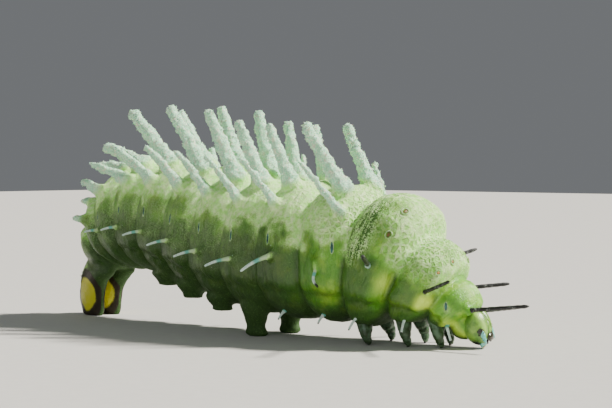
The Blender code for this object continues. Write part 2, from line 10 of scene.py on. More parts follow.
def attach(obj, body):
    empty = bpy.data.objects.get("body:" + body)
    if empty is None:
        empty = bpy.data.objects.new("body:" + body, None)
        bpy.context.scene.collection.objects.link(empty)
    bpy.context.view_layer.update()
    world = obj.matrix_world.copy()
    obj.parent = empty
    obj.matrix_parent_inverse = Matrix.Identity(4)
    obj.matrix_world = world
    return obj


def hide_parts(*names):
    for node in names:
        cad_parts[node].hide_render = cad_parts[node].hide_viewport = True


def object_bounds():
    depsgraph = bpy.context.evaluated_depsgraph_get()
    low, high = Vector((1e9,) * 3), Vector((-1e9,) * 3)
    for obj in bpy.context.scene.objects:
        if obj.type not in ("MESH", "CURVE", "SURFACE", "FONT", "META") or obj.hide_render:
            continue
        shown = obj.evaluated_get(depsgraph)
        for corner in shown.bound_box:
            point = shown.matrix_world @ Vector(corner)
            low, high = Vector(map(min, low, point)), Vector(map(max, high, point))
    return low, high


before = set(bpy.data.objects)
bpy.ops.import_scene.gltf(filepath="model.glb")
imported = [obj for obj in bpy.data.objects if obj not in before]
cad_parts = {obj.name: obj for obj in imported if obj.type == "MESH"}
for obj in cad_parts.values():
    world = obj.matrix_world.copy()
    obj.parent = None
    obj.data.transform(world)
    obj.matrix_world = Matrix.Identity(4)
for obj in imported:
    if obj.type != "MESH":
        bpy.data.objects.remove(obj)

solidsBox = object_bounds()
mm = 0.001  # shapes are worked out in millimetres and scaled to metres when a piece is finished
randomDraw = np.random.default_rng(11)


# Small helpers

def mixed(a, b, t):
    return a + (b - a) * t


def eased(t):
    t = np.clip(t, 0.0, 1.0)
    return t * t * (3 - 2 * t)


def ramp(value, low, high):  # 0 below low, 1 above high, eased between them
    return eased((value - low) / (high - low))


def bell(value, middle, spread):
    return np.exp(-(((value - middle) / spread) ** 2))


def unit(v):
    v = np.asarray(v, float)
    return v / np.maximum(np.linalg.norm(v, axis=-1, keepdims=True), 1e-12)


def roughNoise(points, size, octaves=3, seed=0):  # about -0.6 to 0.6, for places in mm
    shift = Vector((17.3, 5.1, 9.7)) * seed
    return np.array([noise.fractal(Vector(p) / size + shift, 1.0, 2.0, octaves) for p in points])


def insideBox(points):  # places in mm, kept a little inside the solids' box
    low, high = np.array(solidsBox) / mm
    return np.clip(points, (*(low[:2] + 0.05), 0.0), high - 0.05)


# The body's bent line and its girth, the same as the solids'

body = {
    "neck": (45.79, 2.83, 5.35),  # middle of the head joint, mm
    "lineStep": 0.1,
    # at each fold from the head joint to the tail: left of +X, and nose down, in degrees
    "heading": (19, 15, 11.5, 10, 4, -2.5, -5.5, -7, -7.5, -7, -5.5, -4, -3.5, -3.5),
    "pitch": (60, 34, 26, 9, 2, 3, 7, 10, 9, 3, -8, -26, -44, -60),
    # name, length, half width, half height, hump of the back, crest, lean of the back
    "segments": (
        ("thorax_1", 5.8, 5.8, 4.7, 0.00, 0.50, 0.5),
        ("thorax_2", 7.6, 9.1, 7.7, 0.04, 0.42, 1.6),
        ("thorax_3", 10.4, 11.0, 11.7, 0.14, 0.36, 1.5),
        ("abdomen_1", 9.2, 11.6, 12.9, 0.05, 0.45, 0.3),
        ("abdomen_2", 9.6, 11.8, 13.2, 0.04, 0.45, 0.0),
        ("abdomen_3", 9.8, 11.8, 13.2, 0.04, 0.45, 0.0),
        ("abdomen_4", 9.8, 11.7, 13.2, 0.04, 0.45, 0.0),
        ("abdomen_5", 9.8, 11.5, 12.9, 0.04, 0.45, 0.0),
        ("abdomen_6", 9.8, 11.2, 12.3, 0.04, 0.45, 0.0),
        ("abdomen_7", 9.4, 10.8, 11.4, 0.04, 0.45, 0.0),
        ("abdomen_8", 8.4, 10.0, 10.5, 0.05, 0.45, 0.0),
        ("abdomen_9", 5.4, 8.5, 8.8, 0.00, 0.45, 0.0),
        ("abdomen_10", 6.6, 6.3, 6.4, 0.00, 0.40, 0.0),
    ),
    "foldShrink": 0.92,
    "foldMean": 0.45,
    "neckShrink": 0.80,
    "tailShrink": 0.55,
    "swellPower": 0.8,
    "sidePower": 0.90,
    "risePower": 0.92,
    "bellyDepth": 1.04,
    "humpSpread": 62,
    "leanSpread": 85,
    "ridge": (0.045, 112, 13),
}
segmentNames = [row[0] for row in body["segments"]]
segmentCount = len(segmentNames)
folds = np.concatenate(([0.0], np.cumsum([row[1] for row in body["segments"]])))
halfWidth, halfHeight, humps, crests, leans = (
    np.array([row[k] for row in body["segments"]]) for k in range(2, 7)
)
crestAt = mixed(folds[:-1], folds[1:], crests)  # mm behind the head joint


def directionsAt(s):  # forward, left and up at distance s behind the head joint
    heading = np.radians(np.interp(s, folds, body["heading"]))
    pitch = np.radians(np.interp(s, folds, body["pitch"]))
    level = np.cos(pitch)
    forward = np.stack((np.cos(heading) * level, np.sin(heading) * level, -np.sin(pitch)), -1)
    left = np.stack((-np.sin(heading), np.cos(heading), np.zeros_like(heading)), -1)
    return forward, left, np.cross(forward, left)


lineS = np.arange(0.0, folds[-1] + body["lineStep"], body["lineStep"])
lineMoves = directionsAt(lineS[:-1] + body["lineStep"] / 2)[0] * body["lineStep"]
linePoints = np.array(body["neck"]) - np.vstack((np.zeros(3), np.cumsum(lineMoves, axis=0)))


def centreAt(s):
    return np.stack([np.interp(s, lineS, linePoints[:, k]) for k in range(3)], -1)


def foldSizes(sizes):
    inner = mixed(np.minimum(sizes[:-1], sizes[1:]), (sizes[:-1] + sizes[1:]) / 2, body["foldMean"])
    ends = sizes[0] * body["neckShrink"], sizes[-1] * body["tailShrink"]
    return np.concatenate(([ends[0]], inner * body["foldShrink"], [ends[1]]))


widthFolds, heightFolds = foldSizes(halfWidth), foldSizes(halfHeight)


def segmentAt(s):  # index of the segment, the share of it passed, and 0 at its folds to 1 at its crest
    i = np.clip(np.searchsorted(folds, s, "right") - 1, 0, segmentCount - 1)
    t = np.clip((s - folds[i]) / (folds[i + 1] - folds[i]), 0, 1)
    rise = np.where(t < crests[i], t / crests[i], (1 - t) / (1 - crests[i]))
    return i, t, np.sin(np.pi / 2 * np.clip(rise, 0, 1)) ** body["swellPower"]


def halvesAt(s):
    i, t, swell = segmentAt(s)
    halves = []
    for sizes, atFold in ((halfWidth, widthFolds), (halfHeight, heightFolds)):
        plain = mixed(atFold[i], atFold[i + 1], eased(t))
        plainCrest = mixed(atFold[i], atFold[i + 1], eased(crests[i]))
        halves.append(plain + (sizes[i] - plainCrest) * swell)
    return halves


# Folds, creases and bulges that the skin adds to the plain body, in mm

relief = {
    "foldDepth": 0.75, "foldWidth": 0.75,
    "ringDepth": 0.26, "ringShares": (0.17, 0.76), "ringWidth": 0.055,  # shares of a segment
    "creaseDepth": 0.55, "creaseAngle": 124, "creaseWidth": 4.5,
    "lobeHeight": 0.55, "lobeAngle": 148, "lobeWidth": 13,
    "collarHeight": 1.0, "collarAngle": 106, "collarWidth": 13, "collarLength": 1.2, "collarCrease": 0.4,
    "neckLobe": 0.9,  # low behind the head, on the first segment
    "shoulder": 1.2,  # makes the third segment's front a little square
    "shieldEdge": 0.35,  # the crease under the first segment's smooth shield
    "backDent": 0.5,  # between the two rows of horns, along the middle of the back
}


def reliefAt(s, angle):
    i, t, swell = segmentAt(s)
    low = np.abs(angle)
    toFold = np.min(np.abs(s[:, None] - folds[None, 1:-1]), axis=1)
    depth = -relief["foldDepth"] * bell(toFold, 0, relief["foldWidth"]) * mixed(1.0, 0.5, ramp(low, 120, 170))
    onAbdomen = (i >= 3) & (i <= 10)
    for share in relief["ringShares"]:
        ring = bell(t, share + 0.03 * np.sin(np.radians(low * 3)), relief["ringWidth"])
        depth -= relief["ringDepth"] * ring * onAbdomen * (1 - ramp(low, 95, 125))
    crease = bell(low, relief["creaseAngle"] + 3 * np.sin(t * 9), relief["creaseWidth"])
    depth -= relief["creaseDepth"] * crease * ramp(swell, 0.2, 0.8) * (i <= 9)
    depth += relief["lobeHeight"] * bell(low, relief["lobeAngle"], relief["lobeWidth"]) * swell * (i <= 2)
    collar = bell(s, folds[1] + 0.7, relief["collarLength"])
    collar = relief["collarHeight"] * collar - relief["collarCrease"] * bell(s, folds[1] + 3.0, 0.7)
    depth += collar * bell(low, relief["collarAngle"], relief["collarWidth"])
    depth += relief["neckLobe"] * bell(s, 1.3, 1.0) * bell(low, 128, 18)
    depth += relief["shoulder"] * bell(s, crestAt[2] - 2.6, 1.5) * bell(low, 0, 44)
    depth -= relief["shieldEdge"] * bell(low, 98 - 6 * t, 5) * swell * (i == 0)
    depth -= relief["backDent"] * bell(low, 0, 9) * swell * onAbdomen
    return depth


def skinPoint(s, angle, lift=0.0, folded=False):
    s, angle = np.atleast_1d(np.asarray(s, float)), np.atleast_1d(np.asarray(angle, float))
    i, t, swell = segmentAt(s)
    width, height = halvesAt(s)
    forward, left, up = directionsAt(s)
    a, low = np.radians(angle), np.abs(angle)
    side = np.sign(np.sin(a)) * np.abs(np.sin(a)) ** body["sidePower"]
    rise = np.sign(np.cos(a)) * np.abs(np.cos(a)) ** body["risePower"]
    rise = np.where(rise < 0, rise * body["bellyDepth"], rise)
    ridgeHeight, ridgeAngle, ridgeSpread = body["ridge"]
    hump = humps[i] * swell * np.exp(-((low / body["humpSpread"]) ** 4))
    scale = 1 + ridgeHeight * bell(low, ridgeAngle, ridgeSpread) + hump
    ahead = leans[i] * swell * np.exp(-((low / body["leanSpread"]) ** 4))
    grow = lift + (reliefAt(s, angle) if folded else 0.0)
    across = (width + grow) * side * scale
    over = (height + grow) * rise * scale
    return centreAt(s) + left * across[:, None] + up * over[:, None] + forward * ahead[:, None]


def skinSpot(s, angle, lift=0.0):
    # A place on the skin with its outward, forward and sideways directions
    here, ahead, behind, turned = skinPoint([s, s - 0.3, s + 0.3, s], [angle] * 3 + [angle + 2], lift)
    along = unit(ahead - behind)
    around = unit(turned - here)
    outward = unit(np.cross(around, along))
    if outward @ (here - centreAt(s)) < 0:
        outward = -outward
    return here, outward, along, unit(np.cross(outward, along))


def levelForward(s):
    forward = directionsAt(s)[0].copy()
    forward[2] = 0
    return unit(forward)


# Mesh helpers

def addWrap(bm, along, sides, place, layer=None):
    # A grid rolled into a closed tube: place gives the points for shares along and around it
    verts = bmesh.ops.create_grid(bm, x_segments=along, y_segments=sides, size=1)["verts"]
    shares = np.array([vert.co[:2] for vert in verts]) * 0.5 + 0.5
    for vert, point, share in zip(verts, place(shares[:, 0], shares[:, 1]), shares[:, 0]):
        vert.co = point
        if layer:
            vert[layer] = share
    bmesh.ops.remove_doubles(bm, verts=verts, dist=1e-3)
    rim = {edge for vert in verts if vert.is_valid for edge in vert.link_edges if edge.is_boundary}
    bmesh.ops.holes_fill(bm, edges=list(rim), sides=0)
    return [vert for vert in verts if vert.is_valid]


def betweenRows(at, places):  # the places at row numbers that needn't be whole
    rows = np.arange(len(places))
    return np.stack([np.interp(at, rows, places[:, k]) for k in range(3)], -1)


def addTube(bm, path, radii, sides, flat=1.0, across=None, layer=None):
    path, radii = np.asarray(path, float), np.asarray(radii, float)
    along = unit(np.gradient(path, axis=0))
    if across is None:
        across = np.array((0, 0, 1.0)) if abs(along[0][2]) < 0.8 else np.array((1.0, 0, 0))
    side = unit(across - along * (along @ across)[:, None])
    over = np.cross(along, side)
    rows = np.arange(len(path))

    def place(u, v):
        at = u * (len(path) - 1)
        centre, out, rest = (betweenRows(at, values) for values in (path, side, over))
        turn, radius = 2 * np.pi * v, np.interp(at, rows, radii)
        wide, tall = np.cos(turn) * radius, np.sin(turn) * radius * flat
        return centre + out * wide[:, None] + rest * tall[:, None]

    return addWrap(bm, len(path) - 1, sides, place, layer)


def addBead(bm, centre, axes, halves, rings=10, sides=16):
    # A ball stretched along three directions
    ball = bmesh.ops.create_uvsphere(bm, u_segments=sides, v_segments=rings, radius=1)["verts"]
    turn = Matrix([list(np.asarray(axis) * half) for axis, half in zip(axes, halves)]).transposed()
    for vert in ball:
        vert.co = Vector(centre) + turn @ vert.co
    return ball


def addRing(bm, centre, axes, halves, thick, sides=28, roundSides=8):
    # An oval ring in the plane of the first two directions
    first, second, outward = (np.asarray(axis) for axis in axes)

    def place(u, v):
        turn, roll = 2 * np.pi * u, 2 * np.pi * v
        out = first * np.cos(turn)[:, None] * halves[0] + second * np.sin(turn)[:, None] * halves[1]
        away = unit(first * np.cos(turn)[:, None] * halves[1] + second * np.sin(turn)[:, None] * halves[0])
        wide, tall = np.cos(roll) * thick, np.sin(roll) * thick
        return centre + out + away * wide[:, None] + outward * tall[:, None]

    return addWrap(bm, sides, roundSides, place)


def paintFaces(verts, index):
    for face in {face for vert in verts for face in vert.link_faces}:
        face.material_index = index


def linkPiece(mesh, name, looks, nodes=()):
    for look in looks:
        mesh.materials.append(look)
    mesh.shade_smooth()
    piece = bpy.data.objects.new(name, mesh)
    bpy.context.scene.collection.objects.link(piece)
    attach(piece, "root")
    if nodes:
        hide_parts(*nodes)
    return piece


def finishPiece(bm, name, looks, nodes=()):
    bmesh.ops.recalc_face_normals(bm, faces=bm.faces)
    bmesh.ops.scale(bm, vec=(mm, mm, mm), verts=bm.verts)
    mesh = bpy.data.meshes.new(name)
    bm.to_mesh(mesh)
    bm.free()
    return linkPiece(mesh, name, looks, nodes)


# Material helpers

def plug(tree, value, socket):
    if isinstance(value, bpy.types.NodeSocket):
        tree.links.new(value, socket)
    elif isinstance(value, tuple) and len(value) == 3 and socket.type == "RGBA":
        socket.default_value = (*value, 1.0)
    else:
        socket.default_value = value


def addNode(tree, kind, sockets, **settings):
    made = tree.nodes.new("ShaderNode" + kind)
    for key, value in settings.items():
        setattr(made, key, value)
    for key, value in sockets.items():
        plug(tree, value, made.inputs[key])
    return made


def doMath(tree, operation, *values, clamp=False):
    made = tree.nodes.new("ShaderNodeMath")
    made.operation, made.use_clamp = operation, clamp
    for value, socket in zip(values, made.inputs):
        plug(tree, value, socket)
    return made.outputs[0]


def blendColour(tree, factor, first, second, mode="MIX"):
    made = addNode(tree, "Mix", {0: factor, 6: first, 7: second}, data_type="RGBA", blend_type=mode)
    return made.outputs[2]


def blendValue(tree, factor, first, second):
    return addNode(tree, "Mix", {0: factor, 2: first, 3: second}).outputs[0]


def softStep(tree, value, low, high, bottom=0.0, top=1.0):
    sockets = {0: value, 1: low, 2: high, 3: bottom, 4: top}
    return addNode(tree, "MapRange", sockets, interpolation_type="SMOOTHSTEP").outputs[0]


def noiseOf(tree, where, size, detail=3.0, roughness=0.55):
    sockets = {"Vector": where, "Scale": 1 / size, "Detail": detail, "Roughness": roughness}
    return addNode(tree, "TexNoise", sockets).outputs[0]


def readAttribute(tree, name):
    return addNode(tree, "Attribute", {}, attribute_name=name).outputs["Fac"]


def vectorMath(tree, operation, *values):
    return addNode(tree, "VectorMath", dict(enumerate(values)), operation=operation).outputs[0]


def placeInMm(tree):
    return vectorMath(tree, "MULTIPLY", addNode(tree, "TexCoord", {}).outputs["Object"], (1000, 1000, 1000))


def bumpOf(tree, height, depth, under=None):  # depth in mm
    sockets = {"Height": height, "Distance": depth * mm}
    if under:
        sockets["Normal"] = under
    return addNode(tree, "Bump", sockets).outputs[0]


def startLook(name, **fixed):
    look = bpy.data.materials.new(name)
    look.use_nodes = True
    shader = look.node_tree.nodes["Principled BSDF"]
    names = {"soft": "Subsurface Weight", "coat": "Coat Weight", "coatRough": "Coat Roughness",
             "shine": "Specular IOR Level", "softScale": "Subsurface Scale"}
    for key, value in fixed.items():
        shader.inputs[names[key]].default_value = value
    return look, look.node_tree, shader


# Skin finish

skinLook = {
    "backGreen": (0.24, 0.62, 0.04), "sideGreen": (0.09, 0.31, 0.008), "lowGreen": (0.026, 0.075, 0.008),
    "limeGreen": (0.66, 0.90, 0.08), "poreGreen": (0.20, 0.56, 0.035), "slopeGreen": (0.040, 0.12, 0.015),
    # The flanks' green, and the flanks' colour for thin powder, are painted dark as the shade on the
    # abdomen's lower sides
    "shadedFlankGreen": (0.012, 0.034, 0.007),
    "wax": (0.76, 0.99, 0.48), "waxShade": (0.46, 0.90, 0.22), "flankWax": (0.15, 0.22, 0.12),
    "hornMint": (0.38, 0.80, 0.52), "hornWhite": (0.76, 0.95, 0.72), "hornPink": (0.88, 0.74, 0.58),
    "ringBrown": (0.022, 0.010, 0.005), "claspYellow": (0.72, 0.68, 0.04),
    # mm from pore to pore, and half a wall as a share of that
    "bigPores": (1.40, 0.17), "smallPores": (0.98, 0.17),
    "softRadius": (1.1, 1.6, 0.5),
}

# What the mesh carries for its finish, each 0 to 1 at every point
skinWeights = ("wax", "pores", "smallPores", "streaks", "horn", "limb", "ring", "limeAndLight", "bellyShade",
               "fold", "flankShade")


def addPores(tree, where, fine, spacing, wall):  # 1 in a pore, 0 on the net of walls between them
    edge = addNode(tree, "TexVoronoi", {"Vector": where, "Scale": 1 / spacing, "Randomness": 0.85},
                   feature="DISTANCE_TO_EDGE").outputs["Distance"]
    ragged = doMath(tree, "MULTIPLY_ADD", doMath(tree, "SUBTRACT", fine, 0.5), 0.22, edge)
    return softStep(tree, ragged, wall - 0.08, wall + 0.08)


def makeSkinLook():
    look, tree, shader = startLook("larva_skin", soft=0.12, softScale=mm, shine=0.5)
    shader.inputs["Subsurface Radius"].default_value = skinLook["softRadius"]
    where = placeInMm(tree)
    flatMap = addNode(tree, "UVMap", {}, uv_map="aroundBody").outputs[0]
    flatMap = vectorMath(tree, "MULTIPLY", flatMap, (100, 100, 100))
    wobble = addNode(tree, "TexNoise", {"Vector": where, "Scale": 0.9, "Detail": 2.0}).outputs["Color"]
    flatMap = vectorMath(tree, "ADD", flatMap, wobble)
    wax, pores, small, streaks, horn, limb, ring, limeAndLight, bellyShade, fold, flankShade = (
        readAttribute(tree, name) for name in skinWeights
    )
    broad, middle, fine = (noiseOf(tree, where, size) for size in (3.2, 0.9, 0.28))
    grain = noiseOf(tree, where, 0.13, 2.0, 0.6)
    bent = vectorMath(tree, "MULTIPLY_ADD", wobble, (0.35, 0.35, 0.35), where)
    bowl = blendValue(tree, small, addPores(tree, bent, fine, *skinLook["bigPores"]),
                      addPores(tree, bent, fine, *skinLook["smallPores"]))
    bowl = doMath(tree, "MULTIPLY", bowl, pores)
    roundMap = vectorMath(tree, "MULTIPLY", flatMap, (3.0, 0.35, 1.0))
    strands = addNode(tree, "TexNoise", {"Vector": roundMap, "Scale": 1.0, "Detail": 3.0}).outputs[0]

    # Skin colour under the powder
    green = blendColour(tree, softStep(tree, wax, 0.0, 0.5), skinLook["sideGreen"], skinLook["backGreen"])
    green = blendColour(tree, softStep(tree, broad, 0.42, 0.70, 0.0, 0.30), green, skinLook["limeGreen"])
    green = blendColour(tree, softStep(tree, middle, 0.52, 0.72, 0.0, 0.30), green, skinLook["lowGreen"])
    # Painted shade: the abdomen's lower flanks darken
    green = blendColour(tree, doMath(tree, "MULTIPLY", flankShade, 0.85), green, skinLook["shadedFlankGreen"])
    # Lime on the collar and behind the head; the collar is also painted brighter as light, and a painted
    # highlight lies low on the front of the second and third segments
    green = blendColour(tree, limeAndLight, green, skinLook["limeGreen"])
    green = blendColour(tree, bowl, green, skinLook["poreGreen"])
    green = blendColour(tree, doMath(tree, "MULTIPLY", streaks, 0.85), green, skinLook["slopeGreen"])
    # Painted shade: the underside, the folds and creases darken; the soft legs and claspers are darker too
    for shade, share in ((bellyShade, 1.0), (limb, 0.7), (fold, 0.85)):
        green = blendColour(tree, doMath(tree, "MULTIPLY", shade, share), green, skinLook["lowGreen"])
    specks = softStep(tree, doMath(tree, "MULTIPLY", fine, grain), 0.30, 0.42, 0.0, 0.22)
    green = blendColour(tree, specks, green, skinLook["waxShade"])

    # Powder is a thin veil of grains that closes up where it lies thick, and leaves the pores free
    grains = doMath(tree, "ADD", doMath(tree, "MULTIPLY", fine, 0.5), doMath(tree, "MULTIPLY", grain, 0.5))
    loose = doMath(tree, "ADD", grains, doMath(tree, "MULTIPLY", strands, 0.35))
    loose = doMath(tree, "SUBTRACT", loose, 0.675)
    cover = softStep(tree, doMath(tree, "MULTIPLY_ADD", loose, 1.5, wax), 0.12, 0.88)
    cover = doMath(tree, "MULTIPLY", cover, doMath(tree, "MULTIPLY_ADD", bowl, -0.80, 1.0))
    flecks = doMath(tree, "MULTIPLY_ADD", strands, 0.45, doMath(tree, "MULTIPLY", fine, 0.55))
    threads = doMath(tree, "MULTIPLY", softStep(tree, flecks, 0.475, 0.53, 0.0, 0.95), streaks)
    cover = doMath(tree, "MAXIMUM", cover, threads)
    powder = blendColour(tree, softStep(tree, middle, 0.3, 0.7), skinLook["waxShade"], skinLook["wax"])
    # Where the powder is thin, as on the flanks, it takes a darker grey green: painted shade
    white = softStep(tree, doMath(tree, "MAXIMUM", wax, streaks), 0.15, 0.55)
    powder = blendColour(tree, white, skinLook["flankWax"], powder)
    colour = blendColour(tree, cover, green, powder)

    # Horns are crusted all over
    crust = blendColour(tree, softStep(tree, fine, 0.40, 0.66), skinLook["hornMint"], skinLook["hornWhite"])
    crust = blendColour(tree, softStep(tree, middle, 0.53, 0.68, 0.0, 0.6), crust, skinLook["hornPink"])
    colour = blendColour(tree, horn, colour, crust)

    # The claspers have a brown ring round a yellow green middle
    ring = doMath(tree, "MULTIPLY_ADD", doMath(tree, "SUBTRACT", fine, 0.5), 0.14, ring)
    colour = blendColour(tree, softStep(tree, ring, 0.45, 0.75), colour, skinLook["claspYellow"])
    fromEdge = doMath(tree, "ABSOLUTE", doMath(tree, "SUBTRACT", ring, 0.40))
    brown = softStep(tree, fromEdge, 0.18, 0.32, 0.95, 0.0)
    colour = blendColour(tree, brown, colour, skinLook["ringBrown"])
    plug(tree, colour, shader.inputs["Base Color"])

    dull = doMath(tree, "MAXIMUM", cover, horn)
    rough = softStep(tree, doMath(tree, "MAXIMUM", dull, bellyShade), 0.0, 0.8, 0.30, 0.80)
    plug(tree, rough, shader.inputs["Roughness"])

    # Height: powder stands up round the pores, and fine wrinkles run round the body
    normal = bumpOf(tree, strands, 0.30)
    normal = bumpOf(tree, bowl, -0.16, normal)
    normal = bumpOf(tree, doMath(tree, "MULTIPLY", dull, grains), 0.20, normal)
    plug(tree, normal, shader.inputs["Normal"])
    return look


# Spines of all kinds: kind, angle from the top, length, root radius, shares of outward, backward
# and upward, tip's share of the root radius, and how far ahead of the crest it stands, in mm

spineRows = {
    "thorax_1": (
        ("filament", 50, 12.2, 0.42, 0.18, -0.98, 0.11, 0.80, 2.0),
        ("small", 134, 3.0, 0.26, 0.10, -0.32, -0.92, 0.8, 2.4),
    ),
    "thorax_2": (
        ("filament", 87, 10.5, 0.38, 0.62, -0.74, 0.26, 0.85, 1.2),
        ("small", 145, 3.0, 0.26, 0.42, 0.05, -0.90, 0.8, 0.0),
    ),
    "thorax_3": (
        ("filament", 88, 12.5, 0.46, 0.90, -0.40, 0.20, 0.80, -1.2),
        ("small", 143, 3.0, 0.26, 0.42, 0.38, -0.82, 0.8, -2.3),
    ),
    "abdomen_1": (
        ("horn", 23, 15.0, 1.35, 0.16, 0.50, 0.85, 0.78, 0.0),
        ("horn", 50, 12.4, 0.80, 0.38, 0.50, 0.78, 0.62, 2.0),
        ("side", 97, 4.6, 0.30, 0.56, -0.15, -0.80, 0.80, 0.0),
        ("small", 149, 2.3, 0.30, 0.70, 0.10, -0.70, 0.6, -1.0),
    ),
    "abdomen_2": (
        ("horn", 23, 13.2, 1.25, 0.12, 0.36, 0.92, 0.72, -1.2),
        ("horn", 50, 11.5, 0.82, 0.36, 0.48, 0.78, 0.60, -1.5),
        ("side", 92, 7.2, 0.46, 0.80, 0.50, -0.45, 0.55, 0.0),
        ("small", 149, 2.3, 0.30, 0.70, 0.10, -0.70, 0.6, -1.0),
    ),
    "abdomen_3": (
        ("horn", 23, 13.6, 1.35, 0.12, 0.38, 0.91, 0.72, 0.0),
        ("horn", 50, 11.5, 0.88, 0.36, 0.50, 0.78, 0.60, -1.6),
        ("side", 98, 6.0, 0.40, 0.84, 0.46, -0.24, 0.55, 0.0),
    ),
    "abdomen_4": (
        ("horn", 22, 15.4, 1.45, 0.12, 0.44, 0.90, 0.74, 1.0),
        ("horn", 50, 11.8, 0.95, 0.36, 0.52, 0.76, 0.60, -1.6),
        ("side", 98, 5.6, 0.38, 0.84, 0.46, -0.22, 0.55, 0.0),
    ),
    "abdomen_5": (
        ("horn", 22, 16.2, 1.50, 0.12, 0.56, 0.82, 0.74, 0.0),
        ("horn", 50, 11.6, 1.00, 0.36, 0.56, 0.72, 0.60, -1.6),
        ("side", 98, 5.2, 0.36, 0.84, 0.48, -0.20, 0.55, 0.0),
    ),
    "abdomen_6": (
        ("horn", 21, 16.6, 1.55, 0.12, 0.72, 0.70, 0.74, -1.0),
        ("horn", 50, 11.4, 1.05, 0.36, 0.66, 0.60, 0.60, -1.4),
        ("side", 98, 4.8, 0.35, 0.82, 0.52, -0.18, 0.55, 0.0),
    ),
    "abdomen_7": (
        ("horn", 22, 12.6, 1.50, 0.14, 0.92, 0.32, 0.74, 0.0),
        ("horn", 50, 10.4, 1.05, 0.36, 0.84, 0.36, 0.60, 0.0),
        ("side", 98, 4.4, 0.34, 0.80, 0.56, -0.16, 0.55, 0.0),
    ),
    "abdomen_8": (
        ("horn", 0, 10.0, 1.70, 0.0, 0.98, 0.12, 0.74, 0.0),
        ("horn", 52, 5.6, 1.00, 0.40, 0.80, 0.40, 0.60, 0.0),
        ("side", 98, 3.8, 0.32, 0.80, 0.58, -0.10, 0.55, 0.0),
    ),
    "abdomen_9": (
        ("horn", 24, 3.3, 0.85, 0.20, 0.92, 0.20, 0.55, 0.0),
        ("horn", 66, 2.9, 0.75, 0.55, 0.80, 0.10, 0.55, 0.0),
    ),
}
# The left filaments stand a little differently, and the first is shorter
oddFilaments = {
    "thorax_1": ("filament", 66, 7.6, 0.42, 0.06, -0.99, 0.12, 0.80, 2.4),
    "thorax_2": ("filament", 91, 10.5, 0.44, 0.54, -0.84, 0.09, 0.80, 1.2),
    "thorax_3": ("filament", 94, 13.0, 0.46, 0.80, -0.58, 0.27, 0.80, -0.9),
}
spineShape = {
    "sink": 1.6, "bendUp": 0.05, "bendBack": 0.04,
    "steps": {"horn": 22, "side": 16, "filament": 26, "small": 10},
    "sides": {"horn": 20, "side": 14, "filament": 12, "small": 10},
    "flare": {"horn": 0.85, "side": 0.9, "filament": 0.35, "small": 0.6},  # extra radius at the skin
    "flareReach": {"horn": 1.5, "side": 0.9, "filament": 0.5, "small": 0.4},
    "wart": {"places": (-1.2, -0.4, 0.3, 0.9, 1.5), "radii": (1.5, 1.35, 1.0, 0.7, 0.45)},
    "wave": (0.03, 7), "knobs": (0.07, 46),  # how far and how often a filament bends and swells
    "hookAhead": 1.3,  # mm, the dark tip of the first side spine
    # shares of a side spine's length that get the shares of its colours below them
    "bands": {"first": (0, 0.34, 0.50, 0.74, 1), "rest": (0, 0.36, 0.50, 0.97, 1)},
    "bandShares": (0, 0.20, 0.32, 0.9, 1), "paleFoot": {"thorax_3": 0.15}, "shortFoot": 0.04,
}


def spinesOf(*kinds):
    for i, name in enumerate(segmentNames):
        for row in spineRows.get(name, ()):
            if row[0] not in kinds:
                continue
            yield i, 1, oddFilaments.get(name, row) if row[0] == "filament" else row
            if row[1]:
                yield i, -1, row


def spinePath(i, side, row):
    # Points and radii from inside the body to the tip
    kind, angle, length, radius, out, back, up, taper, ahead = row
    s = crestAt[i] - ahead
    root = skinPoint(s, angle * side)[0]
    level, left, bodyUp = levelForward(s), directionsAt(s)[1], directionsAt(s)[2]
    reach = unit(left * side * out - level * back + np.array((0, 0, up)))
    inward = unit(centreAt(s) - root)
    steps = spineShape["steps"][kind]
    t = np.linspace(0, 1, steps)
    t = 1 - (1 - t) ** 1.25  # closer stations near the round tip
    bend = (bodyUp * spineShape["bendUp"] - level * spineShape["bendBack"]) * length * (kind != "filament")
    path = root + reach * (length * t)[:, None] + bend * np.sin(np.pi * t)[:, None]
    flare = 1 + spineShape["flare"][kind] * np.exp(-t * length / spineShape["flareReach"][kind])
    roundTip = np.sqrt(np.clip(1 - np.clip((t - 0.90) / 0.10, 0, 1) ** 2, 0.03, 1))
    radii = radius * mixed(1.0, taper, t) * flare * roundTip
    foot = root + unit(inward * 0.7 - reach * 0.3) * spineShape["sink"]
    return np.vstack((foot, path)), np.concatenate(([radii[0] * 0.9], radii)), reach


# Soft legs, as thick as the solids'

